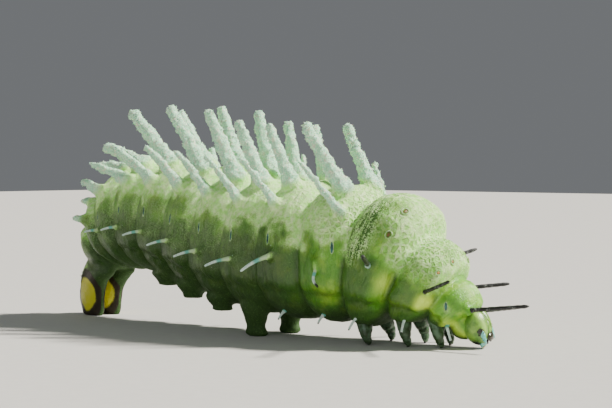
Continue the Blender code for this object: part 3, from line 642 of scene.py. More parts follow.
softLegs = {
    "angle": 157, "tuck": 0.6,
    "lift": {"abdomen_3": 0.0, "abdomen_4": 4.4, "abdomen_5": 6.4, "abdomen_6": 8.5},
    # share of the way from the root to the sole, half across, half along
    "rows": ((-0.5, 2.7, 3.3), (-0.15, 2.7, 3.3), (0.15, 2.35, 2.95), (0.34, 2.0, 2.6),
             (0.42, 2.02, 2.6), (0.5, 1.75, 2.3), (0.66, 1.6, 2.1), (0.78, 1.75, 2.4),
             (0.88, 1.9, 2.65), (0.96, 1.8, 2.55), (1.0, 1.5, 2.1)),
}
claspers = {
    "hip": (0.3, 2.4),
    # height, place along and across, half along, half across
    "rows": ((15.0, 1.8, 0.2, 3.6, 1.5), (13.4, 1.3, 0.3, 4.4, 1.9), (12.0, 0.9, 0.3, 4.8, 2.1),
             (10.9, 0.5, 0.4, 5.0, 2.2), (9.8, 0.1, 0.4, 5.1, 2.2), (8.8, -0.8, 0.35, 4.8, 2.2),
             (8.0, -1.5, 0.3, 4.4, 2.15), (6.9, -2.05, 0.25, 4.1, 2.1), (5.8, -2.4, 0.2, 3.9, 2.05),
             (4.4, -2.55, 0.15, 3.8, 2.0), (3.2, -2.6, 0.1, 3.7, 1.9), (2.2, -2.55, 0.0, 3.55, 1.85),
             (1.3, -2.5, 0.0, 3.4, 1.8), (0.5, -2.45, 0.0, 3.15, 1.65), (0.0, -2.4, 0.0, 2.8, 1.45)),
    "ringMiddle": (-2.2, 4.9), "ringHalf": (2.9, 4.4),  # along and up, on the outer face
}


def softLegRows(i, side):
    s = crestAt[i]
    root = skinPoint(s, softLegs["angle"] * side)[0]
    left, along = directionsAt(s)[1], levelForward(s)
    sole = np.array((root[0], root[1], softLegs["lift"][segmentNames[i]])) - left * side * softLegs["tuck"]
    return root, sole, along, left


def addOvalLoft(bm, centres, firstHalf, secondHalf, first, second, sides):
    rows = np.arange(len(centres))
    centres = np.asarray(centres)

    def place(u, v):
        at, turn = u * (len(centres) - 1), 2 * np.pi * v
        centre = betweenRows(at, centres)
        across = np.interp(at, rows, firstHalf) * np.cos(turn)
        over = np.interp(at, rows, secondHalf) * np.sin(turn)
        return centre + first * across[:, None] + second * over[:, None]

    return addWrap(bm, len(centres) - 1, sides, place)


def addSoftLeg(bm, i, side):
    root, sole, along, left = softLegRows(i, side)
    rows = np.array(softLegs["rows"])
    centres = root + (sole - root) * rows[:, :1]
    addOvalLoft(bm, centres, rows[:, 2], rows[:, 1], along, left, 28)


def clasperFrame(side):
    s = mixed(folds[-2], folds[-1], claspers["hip"][0])
    along, outward = levelForward(s), directionsAt(s)[1] * side
    return centreAt(s) + outward * claspers["hip"][1], along, outward


def addClasper(bm, side):
    hip, along, outward = clasperFrame(side)
    rows = np.array(claspers["rows"])
    centres = np.stack((np.full(len(rows), hip[0]), np.full(len(rows), hip[1]), rows[:, 0]), -1)
    centres = centres + along * rows[:, 1:2] + outward * rows[:, 2:3]
    addOvalLoft(bm, centres, rows[:, 3], rows[:, 4], along, outward, 36)


# One skin over the body, its horns, soft legs and claspers

skin = {
    "rings": 230, "sides": 150, "voxel": 0.43, "smoothRounds": 2,
    "neckMove": (-0.3, 0.0, -0.7), "neckHalf": (2.9, 3.3, 3.2),  # the soft neck behind the head
    "lump": 0.16, "lumpSize": 3.4, "wrinkle": 0.10, "wrinkleSize": 0.9,
    "crust": 0.42, "crustSize": 1.15,
    # mm behind the head joint, the angle from the top where the powder ends, and its thickness
    "powder": ((5.0, 88, 0.0), (7.0, 94, 0.66), (13.4, 94, 0.72), (17.0, 86, 0.74), (24.5, 90, 0.92),
               (27.0, 92, 1.0), (38.0, 86, 1.0), (60.0, 80, 1.0), (108.0, 78, 1.0)),
    "flankPowder": 0.36,
}


def addBodyTube(bm):
    # The line's ends are rounded off by rings that shrink towards them
    s = np.linspace(0, folds[-1], skin["rings"] + 1)

    def place(u, v):
        at = np.interp(u * skin["rings"], np.arange(skin["rings"] + 1), s)
        angle = v * 360 - 180
        points = skinPoint(at, angle, folded=True)
        centre = centreAt(at)
        shrink = np.sqrt(np.clip(1 - np.clip(1 - at / 1.5, 0, 1) ** 2, 0.05, 1))
        shrink *= np.sqrt(np.clip(1 - np.clip((at - folds[-1] + 2.4) / 2.4, 0, 1) ** 2, 0.05, 1))
        return centre + (points - centre) * shrink[:, None]

    addWrap(bm, skin["rings"], skin["sides"], place)


def bodyPlaces(points):
    # Distance behind the head joint, angle from the top, and height over the plain body, in mm
    tree = KDTree(len(linePoints))
    for k, point in enumerate(linePoints):
        tree.insert(point, k)
    tree.balance()
    s = lineS[np.array([tree.find(p)[1] for p in points])]
    forward, left, up = directionsAt(s)
    away = points - centreAt(s)
    s = np.clip(s - np.sum(away * forward, axis=1), 0, folds[-1])
    forward, left, up = directionsAt(s)
    away = points - centreAt(s)
    width, height = halvesAt(s)
    side, rise = np.sum(away * left, axis=1), np.sum(away * up, axis=1)
    angle = np.degrees(np.arctan2(side / width, rise / height))
    plain = skinPoint(s, angle) - centreAt(s)
    return s, angle, np.linalg.norm(away, axis=1) - np.linalg.norm(plain, axis=1)


def bakeModifiers(piece):
    graph = bpy.context.evaluated_depsgraph_get()
    mesh = bpy.data.meshes.new_from_object(piece.evaluated_get(graph))
    old = piece.data
    piece.modifiers.clear()
    piece.data = mesh
    bpy.data.meshes.remove(old)
    return mesh


def meshPlaces(mesh):  # every point in mm, and the way its surface faces
    points, normals = (np.empty(len(mesh.vertices) * 3) for _ in range(2))
    mesh.vertices.foreach_get("co", points)
    mesh.vertex_normals.foreach_get("vector", normals)
    return points.reshape(-1, 3) / mm, normals.reshape(-1, 3)


def makeSkin(look):
    bm = bmesh.new()
    addBodyTube(bm)
    addBead(bm, np.array(body["neck"]) + skin["neckMove"], np.eye(3), skin["neckHalf"])
    for i, side, row in spinesOf("horn"):
        path, radii, _ = spinePath(i, side, row)
        addTube(bm, path, radii, spineShape["sides"]["horn"])
    for i, side, row in spinesOf("side", "filament"):  # the skin rises to a wart round each of them
        path, _, reach = spinePath(i, side, row)
        foot, wart = path[1], spineShape["wart"]
        size, reachShare = (0.8, 0.4) if row[0] == "filament" else (mixed(0.7, 1.0, row[3] / 0.46), 1.0)
        at = foot + reach * (np.array(wart["places"]) * reachShare)[:, None]
        addTube(bm, at, np.array(wart["radii"]) * size, 16)
    for name in softLegs["lift"]:
        for side in (1, -1):
            addSoftLeg(bm, segmentNames.index(name), side)
    for side in (1, -1):
        addClasper(bm, side)
    bmesh.ops.recalc_face_normals(bm, faces=bm.faces)
    bmesh.ops.scale(bm, vec=(mm, mm, mm), verts=bm.verts)
    mesh = bpy.data.meshes.new("skin")
    bm.to_mesh(mesh)
    bm.free()
    nodes = [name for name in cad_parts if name.startswith(("thorax", "abdomen", "proleg", "clasper"))]
    piece = linkPiece(mesh, "skin", [look], nodes)
    remesh = piece.modifiers.new("remesh", "REMESH")
    remesh.mode, remesh.voxel_size = "VOXEL", skin["voxel"] * mm
    even = piece.modifiers.new("even", "SMOOTH")
    even.factor, even.iterations = 0.5, skin["smoothRounds"]
    mesh = bakeModifiers(piece)
    mesh.materials.clear()
    mesh.materials.append(look)
    shapeSkin(mesh)
    mesh.shade_smooth()
    print("skin:", len(mesh.vertices), "points")
    return piece


# Where the markings lie: heights are mm over the plain body, angles are from the top of the back

markings = {
    "crustLift": (0.5, 1.9), "crustAngles": (80, 90),  # horns are crusted above these
    "limbLift": (0.3, 1.5), "limbAngle": 128, "clasperLift": (1.2, 2.5), "clasperAngle": 60,
    "wartPowder": (0.8, 94, 15), "holePowder": (0.5, 92, 15),  # thickness, angle and its spread
    "shieldPowder": (0.50, 62),
    "poreShares": (1.0, 0.9, 0.45, 0.25, 0.15),
    "slopeShares": (0.38, 0.66), "slopeBare": 0.75,  # the flecked rear of the third segment
    # strength, then mm or share along the body and angle, each with its spread
    "collarLime": (0.95, 0.8, 1.4, 106, 15), "lobeHighlight": (0.6, 0.10, 0.14, 100, 13),
    "neckLime": (0.9, 0.6, 1.2),
    "lowShade": (0.85, 0.14, 0.40, 76, 92), "scarShade": 0.45,
    # Painted shade on the underside and on the abdomen's lower flanks starts at these angles
    "bellyShadeAngles": (122, 156), "flankShadeAngles": (52, 90),
}


def shapeSkin(mesh):
    count = len(mesh.vertices)
    points, normals = meshPlaces(mesh)
    s, angle, lift = bodyPlaces(points)
    i, t, swell = segmentAt(s)
    low = np.abs(angle)
    onHorn = ramp(lift, *markings["crustLift"]) * (1 - ramp(low, *markings["crustAngles"])) * (s > folds[3])
    onClasper = ramp(lift, *markings["clasperLift"]) * (s > folds[-2] - 2) * (low > markings["clasperAngle"])
    onLimb = np.maximum(ramp(lift, *markings["limbLift"]) * (low >= markings["limbAngle"]), onClasper)
    toFold = np.min(np.abs(s[:, None] - folds[None, 1:-1]), axis=1)

    # Surface relief
    lumps = roughNoise(points, skin["lumpSize"], 2, 1)
    roundWay = np.radians(angle) * 10 / (skin["wrinkleSize"] * 4)
    stretched = np.stack((s / skin["wrinkleSize"], roundWay, s * 0), -1)
    wrinkles = 1 - 2 * np.abs(roughNoise(stretched, 1.0, 3, 2))
    crust = roughNoise(points, skin["crustSize"], 3, 3)
    grounded = ramp(points[:, 2], 0.0, 0.8)  # soles stay flat
    push = lumps * skin["lump"] + (wrinkles - 0.6) * skin["wrinkle"] * (1 - onHorn) * (1 - onLimb * 0.5)
    push = (push + crust * skin["crust"] * onHorn) * grounded
    points = insideBox(points + normals * push[:, None])
    mesh.vertices.foreach_set("co", (points * mm).ravel())

    # Where the powder, the pores and the other markings lie
    broad = roughNoise(points, 4.0, 3, 4)
    patch = roughNoise(points, 1.6, 3, 5)
    edge = low + broad * 16
    waxS, waxEnd, waxThick = zip(*skin["powder"])
    end = np.interp(s, waxS, waxEnd)
    back = 1 - ramp(edge, end - 30, end + 3)
    wax = np.interp(s, waxS, waxThick) * back
    flankWax = ramp(s, folds[4] - 4, folds[6]) * (1 - ramp(edge, 98, 132))
    wax = np.maximum(wax, skin["flankPowder"] * flankWax)
    thick, place, spread = markings["wartPowder"]
    wax = np.maximum(wax, thick * ramp(lift, 0.4, 1.1) * bell(low, place, spread) * (s > folds[2]))
    thick, spread = markings["shieldPowder"]
    wax = np.maximum(wax, thick * (bell(low, 0, spread) * (i == 0)) * swell)
    thick, place, spread = markings["holePowder"]
    wax = np.maximum(wax, thick * bell(low, place, spread) * bell(t, 0.50, 0.28) * (i == 0))
    rim = bell(s, folds[1] - 0.5, 0.35) * bell(low, 85, 30)
    rim = rim + 0.7 * bell(s, folds[3] - 0.5, 0.4) * bell(low, 70, 45)
    wax += 0.45 * rim + 0.20 * bell(toFold, 0, 0.9) * (1 - ramp(low, 72, 96)) * (s > folds[1])
    wax += patch * 0.16 * back + 0.3 * ramp(lift, -0.1, 0.9) * back * (s > folds[3])
    slope = (i == 2) * ramp(t, *markings["slopeShares"]) * (1 - ramp(t, 0.94, 1.0))
    slope = slope * ramp(low, 16, 34) * (1 - ramp(edge, 72, 94))
    scarShade = np.zeros(count)
    for k, ahead, place, half in marks["scars"]:
        distance = np.hypot(s - crestAt[k] + ahead, np.radians(low - place) * halfWidth[k])
        scarShade = np.maximum(scarShade, bell(distance, 0, half * 2.2))
    bare = 1 - markings["slopeBare"] * slope
    wax *= bare * (1 - markings["scarShade"] * scarShade)
    pores = back * ramp(s, folds[1] + 0.3, folds[1] + 2.0) * bare
    porePlaces = (folds[1], folds[3], crestAt[3], folds[4] + 3, folds[6])
    pores *= np.interp(s, porePlaces, markings["poreShares"])
    pores *= 1 - 0.45 * (i == 2) * (1 - ramp(low, 30, 52)) * (1 - ramp(t, 0.35, 0.6))
    smallPores = 1 - ramp(s, folds[2] - 0.6, folds[2] + 0.6) + ramp(s, folds[3] - 1.5, folds[3])
    # The collar's lime is partly its own colour and partly painted light; the lime behind the head is its own
    # colour
    strength, ahead, length, place, spread = markings["collarLime"]
    limeAndLight = strength * bell(s, folds[1] + ahead, length) * bell(low, place, spread)
    strength, ahead, length = markings["neckLime"]
    limeAndLight = limeAndLight + strength * bell(s, ahead, length) * ramp(low, 95, 125)
    # Painted highlight low on the front of the second and third segments
    strength, share, length, place, spread = markings["lobeHighlight"]
    limeAndLight += strength * bell(low, place, spread) * bell(t, share, length) * (s < folds[3]) * (s > folds[1])
    # Painted shade on the underside
    bellyShade = ramp(edge, *markings["bellyShadeAngles"])
    # Painted shade in the folds, along the low crease and under the rear of the second and third segments,
    # with the darker skin round the scars; lime skin takes less of it
    foldShade = bell(toFold, 0, 0.45) * ramp(low, 70, 100)
    foldShade = foldShade + bell(low, relief["creaseAngle"], 3.5) * 0.6 * (i <= 9) * swell
    strength, *shades = markings["lowShade"]
    lowShade = strength * ramp(t, *shades[:2]) * ramp(edge, *shades[2:]) * ((i == 1) | (i == 2))
    foldShade += markings["scarShade"] * scarShade + lowShade
    foldShade *= 1 - 0.8 * np.clip(limeAndLight, 0, 1)
    # Painted shade on the abdomen's lower flanks
    flankShade = ramp(s, folds[3] - 1, folds[4] + 6) * ramp(edge, *markings["flankShadeAngles"])

    # The ring on each clasper's outer face: 1 inside, 0.5 on the ring, 0 outside
    ring = np.zeros(count)
    for side in (1, -1):
        hip, along, outward = clasperFrame(side)
        acrossFace = (points - hip) @ along - claspers["ringMiddle"][0]
        upFace = points[:, 2] - claspers["ringMiddle"][1]
        oval = np.hypot(acrossFace / claspers["ringHalf"][0], upFace / claspers["ringHalf"][1])
        facing = ramp(normals @ outward, 0.1, 0.5) * (s > folds[-3]) * (lift > 0.2)
        ring = np.maximum(ring, np.clip(1.5 - oval + broad * 0.12, 0, 1) * facing)

    weights = wax, pores, smallPores, slope, onHorn, onLimb, ring, limeAndLight, bellyShade, foldShade, flankShade
    for name, values in zip(skinWeights, weights):
        layer = mesh.attributes.new(name, "FLOAT", "POINT")
        layer.data.foreach_set("value", np.clip(values, 0, 1).astype(np.float32))

    # A flat map of the body: along its line and round its girth, 0.1 for 10 mm
    layer = mesh.uv_layers.new(name="aroundBody")
    corners = np.empty(len(mesh.loops), dtype=np.int32)
    mesh.loops.foreach_get("vertex_index", corners)
    sizes = np.empty(len(mesh.polygons), dtype=np.int32)
    mesh.polygons.foreach_get("loop_total", sizes)
    starts = np.concatenate(([0], np.cumsum(sizes)[:-1]))
    turns = angle[corners]
    spread = np.maximum.reduceat(turns, starts) - np.minimum.reduceat(turns, starts)
    crossing = np.repeat(spread > 180, sizes)
    turns = np.where(crossing & (turns < 0), turns + 360, turns)
    girth = np.interp(s, folds, (widthFolds + heightFolds) / 2 * 1.06)
    flat = np.stack((s[corners], np.radians(turns) * girth[corners]), -1) / 100
    layer.data.foreach_set("uv", flat.astype(np.float32).ravel())


# Head

head = {
    "half": (2.6, 3.3, 3.6), "forward": 2.1, "middleHeight": 4.15, "turn": 12, "tilt": 12, "roll": 10,
    "chinNarrow": 0.30, "chinPower": 1.4, "cheekFull": 0.12,
    "lobeDent": 0.11, "lobeWidth": 0.16, "lobeStart": 0.35,
    "sutureDepth": 0.13, "sutureWidth": 0.045, "fork": 0.25, "forkSpread": 0.46, "forkEnd": -0.72,
    "green": (0.085, 0.22, 0.02), "lightGreen": (0.24, 0.45, 0.06), "sutureColour": (0.05, 0.13, 0.010),
    "band": (0.46, 0.72, 0.16), "dark": (0.012, 0.012, 0.008),
    "bandAt": 0.50, "bandWidth": 0.13,  # sideways places of the two pale bands down the face, partly pale seam edges and partly a painted highlight
    "eyePatch": (0.62, 0.80, -0.24), "mouthPatch": (0.80, 0.0, -0.80), "patchReach": (0.26, 0.48),
    "brow": (0.10, 0.62, 0.10),  # height, place below the middle, and width
    # The last number darkens the head's underside as painted shade
    "eyeSwell": (0.12, 0.60, 0.84, 0.22, 0.2), "chinShade": 0.75,
}


def headMatrix():
    middle = np.array(body["neck"]) + levelForward(0.0) * head["forward"]
    middle[2] = head["middleHeight"]
    turn = Matrix.Rotation(math.radians(head["turn"]), 4, "Z")
    tilt = Matrix.Rotation(math.radians(-head["tilt"]), 4, "Y")
    roll = Matrix.Rotation(math.radians(head["roll"]), 4, "X")
    return Matrix.Translation(Vector(middle)) @ turn @ tilt @ roll


headPlace = headMatrix()


def headShape(co):
    x, y, z = co
    low = max(0.0, -z)
    narrow = 1 - head["chinNarrow"] * low ** head["chinPower"]
    fade = float(eased(head["lobeStart"] + z))
    pull = 1 - head["lobeDent"] * math.exp(-((y / head["lobeWidth"]) ** 2)) * fade
    front = 1 + head["cheekFull"] * low if x > 0 else 1
    half = head["half"]
    return Vector((half[0] * x * front * pull, half[1] * y * narrow, half[2] * z * pull))


def sutureAt(x, y, z):  # 1 on the seams of the face: a midline that forks round the front plate
    line = math.exp(-((y / head["sutureWidth"]) ** 2))
    line *= float(ramp(z, head["fork"] - 0.06, head["fork"] + 0.05))
    if x > 0 and head["forkEnd"] < z < head["fork"] + 0.05:
        share = (head["fork"] - z) / (head["fork"] - head["forkEnd"])
        arm = head["forkSpread"] * max(share, 0) ** 0.8
        line = max(line, math.exp(-(((abs(y) - arm) / head["sutureWidth"]) ** 2)))
    return line


def onHead(x, y, z):
    return headPlace @ headShape(Vector((x, y, z)).normalized())


def offHead(x, y, z):
    return headPlace @ Vector((x, y, z))


def makeHeadLook():
    look, tree, shader = startLook("larva_head", soft=0.1, softScale=mm, coat=0.2, coatRough=0.3)
    where = placeInMm(tree)
    seam, band, dark = (readAttribute(tree, name) for name in ("seam", "band", "dark"))
    cloud = noiseOf(tree, where, 1.4)
    pits = noiseOf(tree, where, 0.22, 2.0)
    colour = blendColour(tree, softStep(tree, cloud, 0.35, 0.68), head["green"], head["lightGreen"])
    colour = blendColour(tree, softStep(tree, pits, 0.55, 0.72, 0.0, 0.25), colour, head["sutureColour"])
    # Pale bands down the face, partly the seams' pale edges and partly a painted highlight
    colour = blendColour(tree, doMath(tree, "MULTIPLY", band, 0.75), colour, head["band"])
    colour = blendColour(tree, doMath(tree, "MULTIPLY", seam, 0.6), colour, head["sutureColour"])
    # Dark round the eyes and the mouth, and painted shade under the head
    ragged = doMath(tree, "MULTIPLY_ADD", doMath(tree, "SUBTRACT", pits, 0.5), 0.8, dark)
    colour = blendColour(tree, softStep(tree, ragged, 0.35, 0.60), colour, head["dark"])
    plug(tree, colour, shader.inputs["Base Color"])
    plug(tree, softStep(tree, pits, 0.3, 0.8, 0.28, 0.44), shader.inputs["Roughness"])
    plug(tree, bumpOf(tree, pits, 0.05), shader.inputs["Normal"])
    return look


def makeHead(look):
    bm = bmesh.new()
    seam, band, dark = (bm.verts.layers.float.new(name) for name in ("seam", "band", "dark"))
    patches = [Vector(head[name]).normalized() for name in ("eyePatch", "mouthPatch")]
    bmesh.ops.create_icosphere(bm, subdivisions=6, radius=1)
    for vert in bm.verts:
        outward = vert.co.normalized()
        x, y, z = outward
        line = sutureAt(x, y, z)
        rise, place, wide = head["brow"]
        brow = rise * math.exp(-(((z + place) / wide) ** 2)) * (x > 0.2)  # lip's base stands up
        rise, ahead, aside, below, wide = head["eyeSwell"]
        fromEye = ((x - ahead) / wide) ** 2 + ((abs(y) - aside) / wide) ** 2 + ((z + below) / wide) ** 2
        swellEye = rise * math.exp(-fromEye)
        vert.co = headShape(outward) + outward * (brow + swellEye - head["sutureDepth"] * line)
        vert[seam] = line
        # the pale bands: partly seam edges, partly a painted highlight
        spot = math.exp(-(((abs(y) - head["bandAt"]) / head["bandWidth"]) ** 2))
        vert[band] = spot * float(ramp(x, 0.15, 0.45)) * float(ramp(z, -0.55, -0.30))
        toEye, toMouth = (Vector((x, abs(y), z)) - patches[0]).length, (outward - patches[1]).length
        # Painted shade under the head and towards its back
        under = head["chinShade"] * float(ramp(-z, 0.25, 0.9)) * float(ramp(-x, -0.80, 0.2))
        nearEye, nearMouth = (
            math.exp(-((away / reach) ** 2)) for away, reach in zip((toEye, toMouth), head["patchReach"])
        )
        vert[dark] = max(nearEye, nearMouth, under)
    bmesh.ops.transform(bm, matrix=headPlace, verts=bm.verts)
    finishPiece(bm, "headCapsule", [look], ["head"])


# Mouthparts, eyes and antennae

mouth = {
    "teal": (0.06, 0.48, 0.42), "tealPale": (0.34, 0.80, 0.70), "dark": (0.010, 0.007, 0.005),
    "brown": (0.032, 0.014, 0.007), "amber": (0.80, 0.36, 0.03), "pale": (0.60, 0.70, 0.42),
    "lip": (0.020, 0.032, 0.008),
    "antennaRoot": (0.60, 0.70, -0.44), "antennaAim": (1.9, 2.15, -3.7),
    # distance from the root and radius
    "antenna": ((-0.90, 0.46), (0.26, 0.46), (0.31, 0.42), (0.34, 0.35), (0.70, 0.37), (0.98, 0.35),
                (1.05, 0.30), (1.07, 0.20), (1.30, 0.20), (1.52, 0.18), (1.58, 0.12)),
    "eyeSpots": ((0.64, 0.78, -0.40), (0.73, 0.72, -0.30), (0.70, 0.78, -0.16),
                 (0.58, 0.88, -0.08), (0.44, 0.95, -0.16), (0.42, 0.90, -0.38)),
    "eyeRadius": (0.18, 0.16, 0.17, 0.18, 0.15, 0.16),
    "lipRoot": (0.80, 0.0, -0.72), "lipAim": (2.2, 0.0, -4.6),
    "jawRoot": (0.56, 0.38, -0.90), "jawAim": (1.9, 0.65, -4.6),
    "lowerRoot": (0.12, 0.0, -1.0), "lowerAim": (0.35, 0.0, -5.4),
}


def rootAndAim(root, aim, side=1):
    start = np.array(onHead(root[0], root[1] * side, root[2]))
    end = np.array(offHead(aim[0], aim[1] * side, aim[2]))
    return start, unit(end - start)


headAcross = np.array(headPlace.to_3x3() @ Vector((0, 1, 0)))


def makeHornLook(name, first, second, size, rough=(0.25, 0.45), coat=0.3):
    look, tree, shader = startLook(name, coat=coat, coatRough=0.15)
    where = placeInMm(tree)
    cloud = noiseOf(tree, where, size)
    fine = noiseOf(tree, where, size * 0.25, 2.0)
    colour = blendColour(tree, softStep(tree, cloud, 0.35, 0.65), first, second)
    plug(tree, colour, shader.inputs["Base Color"])
    plug(tree, softStep(tree, fine, 0.3, 0.7, *rough), shader.inputs["Roughness"])
    plug(tree, bumpOf(tree, fine, 0.03), shader.inputs["Normal"])
    return look


def makeMouth(tealLook, darkLook, amberLook, paleLook, lipLook):
    for side in (1, -1):
        word = "left" if side > 0 else "right"
        bm = bmesh.new()
        root, out = rootAndAim(mouth["antennaRoot"], mouth["antennaAim"], side)
        rows = np.array(mouth["antenna"])
        addTube(bm, root + out * rows[:, :1], rows[:, 1], 16)
        tip = root + out * 1.6
        for turn in (0.0, 2.1, 4.2):  # three short bristles on the last joint
            lean = headAcross * math.cos(turn) + np.cross(out, headAcross) * math.sin(turn)
            steps = np.linspace(0, 1, 5)[:, None]
            path = tip + lean * 0.09 + (out * 0.55 + lean * 0.12) * steps
            paintFaces(addTube(bm, path, 0.035 * (1 - steps[:, 0] * 0.8), 6), 1)
        finishPiece(bm, "antennaJoints_" + word, [tealLook, paleLook], ["antenna_" + word])

        bm = bmesh.new()
        for (x, y, z), radius in zip(mouth["eyeSpots"], mouth["eyeRadius"]):
            at = np.array(onHead(x, y * side, z))
            out = unit(at - np.array(offHead(0, 0, 0)))
            first = unit(np.cross(out, (0, 0, 1)))
            halves = radius, radius, radius * 0.95
            addBead(bm, at + out * 0.10, (first, np.cross(out, first), out), halves, 12, 18)
        finishPiece(bm, "simpleEyes_" + word, [darkLook], ["eyes_" + word])

        bm = bmesh.new()
        root, out = rootAndAim(mouth["jawRoot"], mouth["jawAim"], side)
        path = root + out * np.array((-0.7, -0.2, 0.15, 0.34, 0.44))[:, None]
        addTube(bm, path, (0.50, 0.54, 0.50, 0.42, 0.30), 18, 0.72, headAcross)
        for n in range(4):  # teeth along the cutting edge
            at = root + out * 0.38 + headAcross * (n - 1.5) * 0.16
            addTube(bm, at + out * np.linspace(0, 0.24, 4)[:, None], (0.10, 0.09, 0.06, 0.02), 8)
        finishPiece(bm, "mandible_" + word, [darkLook], ["jaw_" + word])

    bm = bmesh.new()
    root, out = rootAndAim(mouth["lipRoot"], mouth["lipAim"])
    addOvalLoft(bm, root + out * np.array((-0.9, -0.1, 0.15, 0.38, 0.55))[:, None],
                (1.08, 1.15, 1.13, 1.02, 0.84), (0.46, 0.46, 0.42, 0.36, 0.20),
                headAcross, np.cross(out, headAcross), 30)
    for side in (1, -1):  # the two rounded halves below the notch
        at = root + out * 0.48 + headAcross * side * 0.44
        addBead(bm, at, (headAcross, np.cross(out, headAcross), out), (0.39, 0.23, 0.22), 10, 18)
    finishPiece(bm, "labrum", [lipLook], ["upper_lip"])

    bm = bmesh.new()
    root, down = rootAndAim(mouth["lowerRoot"], mouth["lowerAim"])
    ahead = np.cross(headAcross, down)
    addOvalLoft(bm, root + down * np.array((-0.8, -0.3, 0.0, 0.14, 0.22))[:, None],
                (1.20, 1.18, 1.12, 1.0, 0.75), (0.66, 0.66, 0.60, 0.50, 0.34), headAcross, ahead, 28)
    for n, scale in ((-1, 1.0), (0, 0.8), (1, 1.0)):  # two feelers and the silk spout
        at = root + headAcross * n * 0.72 + ahead * 0.10
        addTube(bm, at + down * np.array((-0.3, 0.16, 0.18, 0.32, 0.34, 0.5))[:, None],
                np.array((0.28, 0.27, 0.21, 0.20, 0.14, 0.08)) * scale, 14, 1.0, headAcross)
        tipBead = addBead(bm, at + down * 0.47, (headAcross, ahead, down), (0.17, 0.17, 0.14), 8, 12)
        paintFaces(tipBead, 1)
    finishPiece(bm, "labium", [tealLook, amberLook], ["lower_lip"])


# Filaments, side spines and small spines

spineLook = {
    "black": (0.010, 0.010, 0.009), "dust": (0.50, 0.54, 0.50), "teal": (0.16, 0.52, 0.42),
    "white": (0.82, 0.90, 0.84), "mint": (0.55, 0.80, 0.68), "crust": (0.55, 0.74, 0.42),
}


def makeFilamentLook():
    look, tree, shader = startLook("larva_filament", shine=0.4)
    where = placeInMm(tree)
    along = readAttribute(tree, "along")
    grain = noiseOf(tree, where, 0.22, 3.0, 0.7)
    patch = noiseOf(tree, where, 0.9, 2.0)
    dust = doMath(tree, "ADD", doMath(tree, "MULTIPLY", grain, 0.6), doMath(tree, "MULTIPLY", patch, 0.4))
    dust = softStep(tree, dust, 0.57, 0.65)
    colour = blendColour(tree, dust, spineLook["black"], spineLook["dust"])
    foot = blendColour(tree, softStep(tree, grain, 0.40, 0.62), spineLook["teal"], spineLook["white"])
    colour = blendColour(tree, softStep(tree, along, 0.40, 0.60), foot, colour)
    plug(tree, colour, shader.inputs["Base Color"])
    plug(tree, softStep(tree, dust, 0.0, 1.0, 0.35, 0.8), shader.inputs["Roughness"])
    plug(tree, bumpOf(tree, grain, 0.10), shader.inputs["Normal"])
    return look


def makeSideSpineLook(name, tealStart, tealEnd, tipStart):
    look, tree, shader = startLook(name, shine=0.4)
    where = placeInMm(tree)
    along = readAttribute(tree, "along")
    grain = noiseOf(tree, where, 0.25, 3.0, 0.6)
    place = doMath(tree, "ADD", along, doMath(tree, "MULTIPLY", doMath(tree, "SUBTRACT", grain, 0.5), 0.10))
    white = blendColour(tree, softStep(tree, grain, 0.4, 0.6), spineLook["mint"], spineLook["white"])
    colour = spineLook["crust"]
    for start, end, band in (
        (tealStart - 0.03, tealStart + 0.03, spineLook["teal"]),
        (tealEnd - 0.03, tealEnd + 0.05, white),
        (tipStart, tipStart + 0.05, spineLook["black"]),
    ):
        colour = blendColour(tree, softStep(tree, place, start, end), colour, band)
    plug(tree, colour, shader.inputs["Base Color"])
    plug(tree, softStep(tree, grain, 0.3, 0.7, 0.3, 0.7), shader.inputs["Roughness"])
    plug(tree, bumpOf(tree, grain, 0.08), shader.inputs["Normal"])
    return look


def makeSpines(filamentLook, sideLook, smallLook):
    for kind, name, look, slot in (
        ("filament", "filaments", filamentLook, "dark_horn"),
        ("side", "sideSpines", sideLook, "teal_horn"),
        ("small", "smallSpines", smallLook, "teal_horn"),
    ):
        bm = bmesh.new()
        layer = bm.verts.layers.float.new("along")
        for i, side, row in spinesOf(kind):
            path, radii, reach = spinePath(i, side, row)
            t = np.linspace(0, 1, len(path))
            if kind == "filament":  # a slow wave and a knobbly outline
                wave = unit(np.cross(reach, (0, 0, 1)))
                bend, knob = spineShape["wave"], spineShape["knobs"]
                path = path + wave * (bend[0] * np.sin(t * bend[1] + i))[:, None]
                radii = radii * (1 + knob[0] * np.sin(t * knob[1] + side))
            firstSide = kind == "side" and segmentNames[i] == "abdomen_1"
            if firstSide:  # its dark tip is hooked forward
                hook = spineShape["hookAhead"] * ramp(t, 0.45, 1.0) ** 2
                path = path + levelForward(crestAt[i]) * hook[:, None]
            tube = addTube(bm, path, radii, spineShape["sides"][kind], layer=layer)
            if kind == "side":  # the first has a long dark tip, the others a dark point
                bands = spineShape["bands"]["first" if firstSide else "rest"]
                for vert in tube:
                    vert[layer] = float(np.interp(vert[layer], bands, spineShape["bandShares"]))
            if kind == "filament":  # a pale foot, longer on the third segment
                foot = spineShape["paleFoot"].get(segmentNames[i], spineShape["shortFoot"])
                for vert in tube:
                    vert[layer] = min(vert[layer] * 0.5 / foot, 1.0)
        finishPiece(bm, name, [look])


# Jointed legs

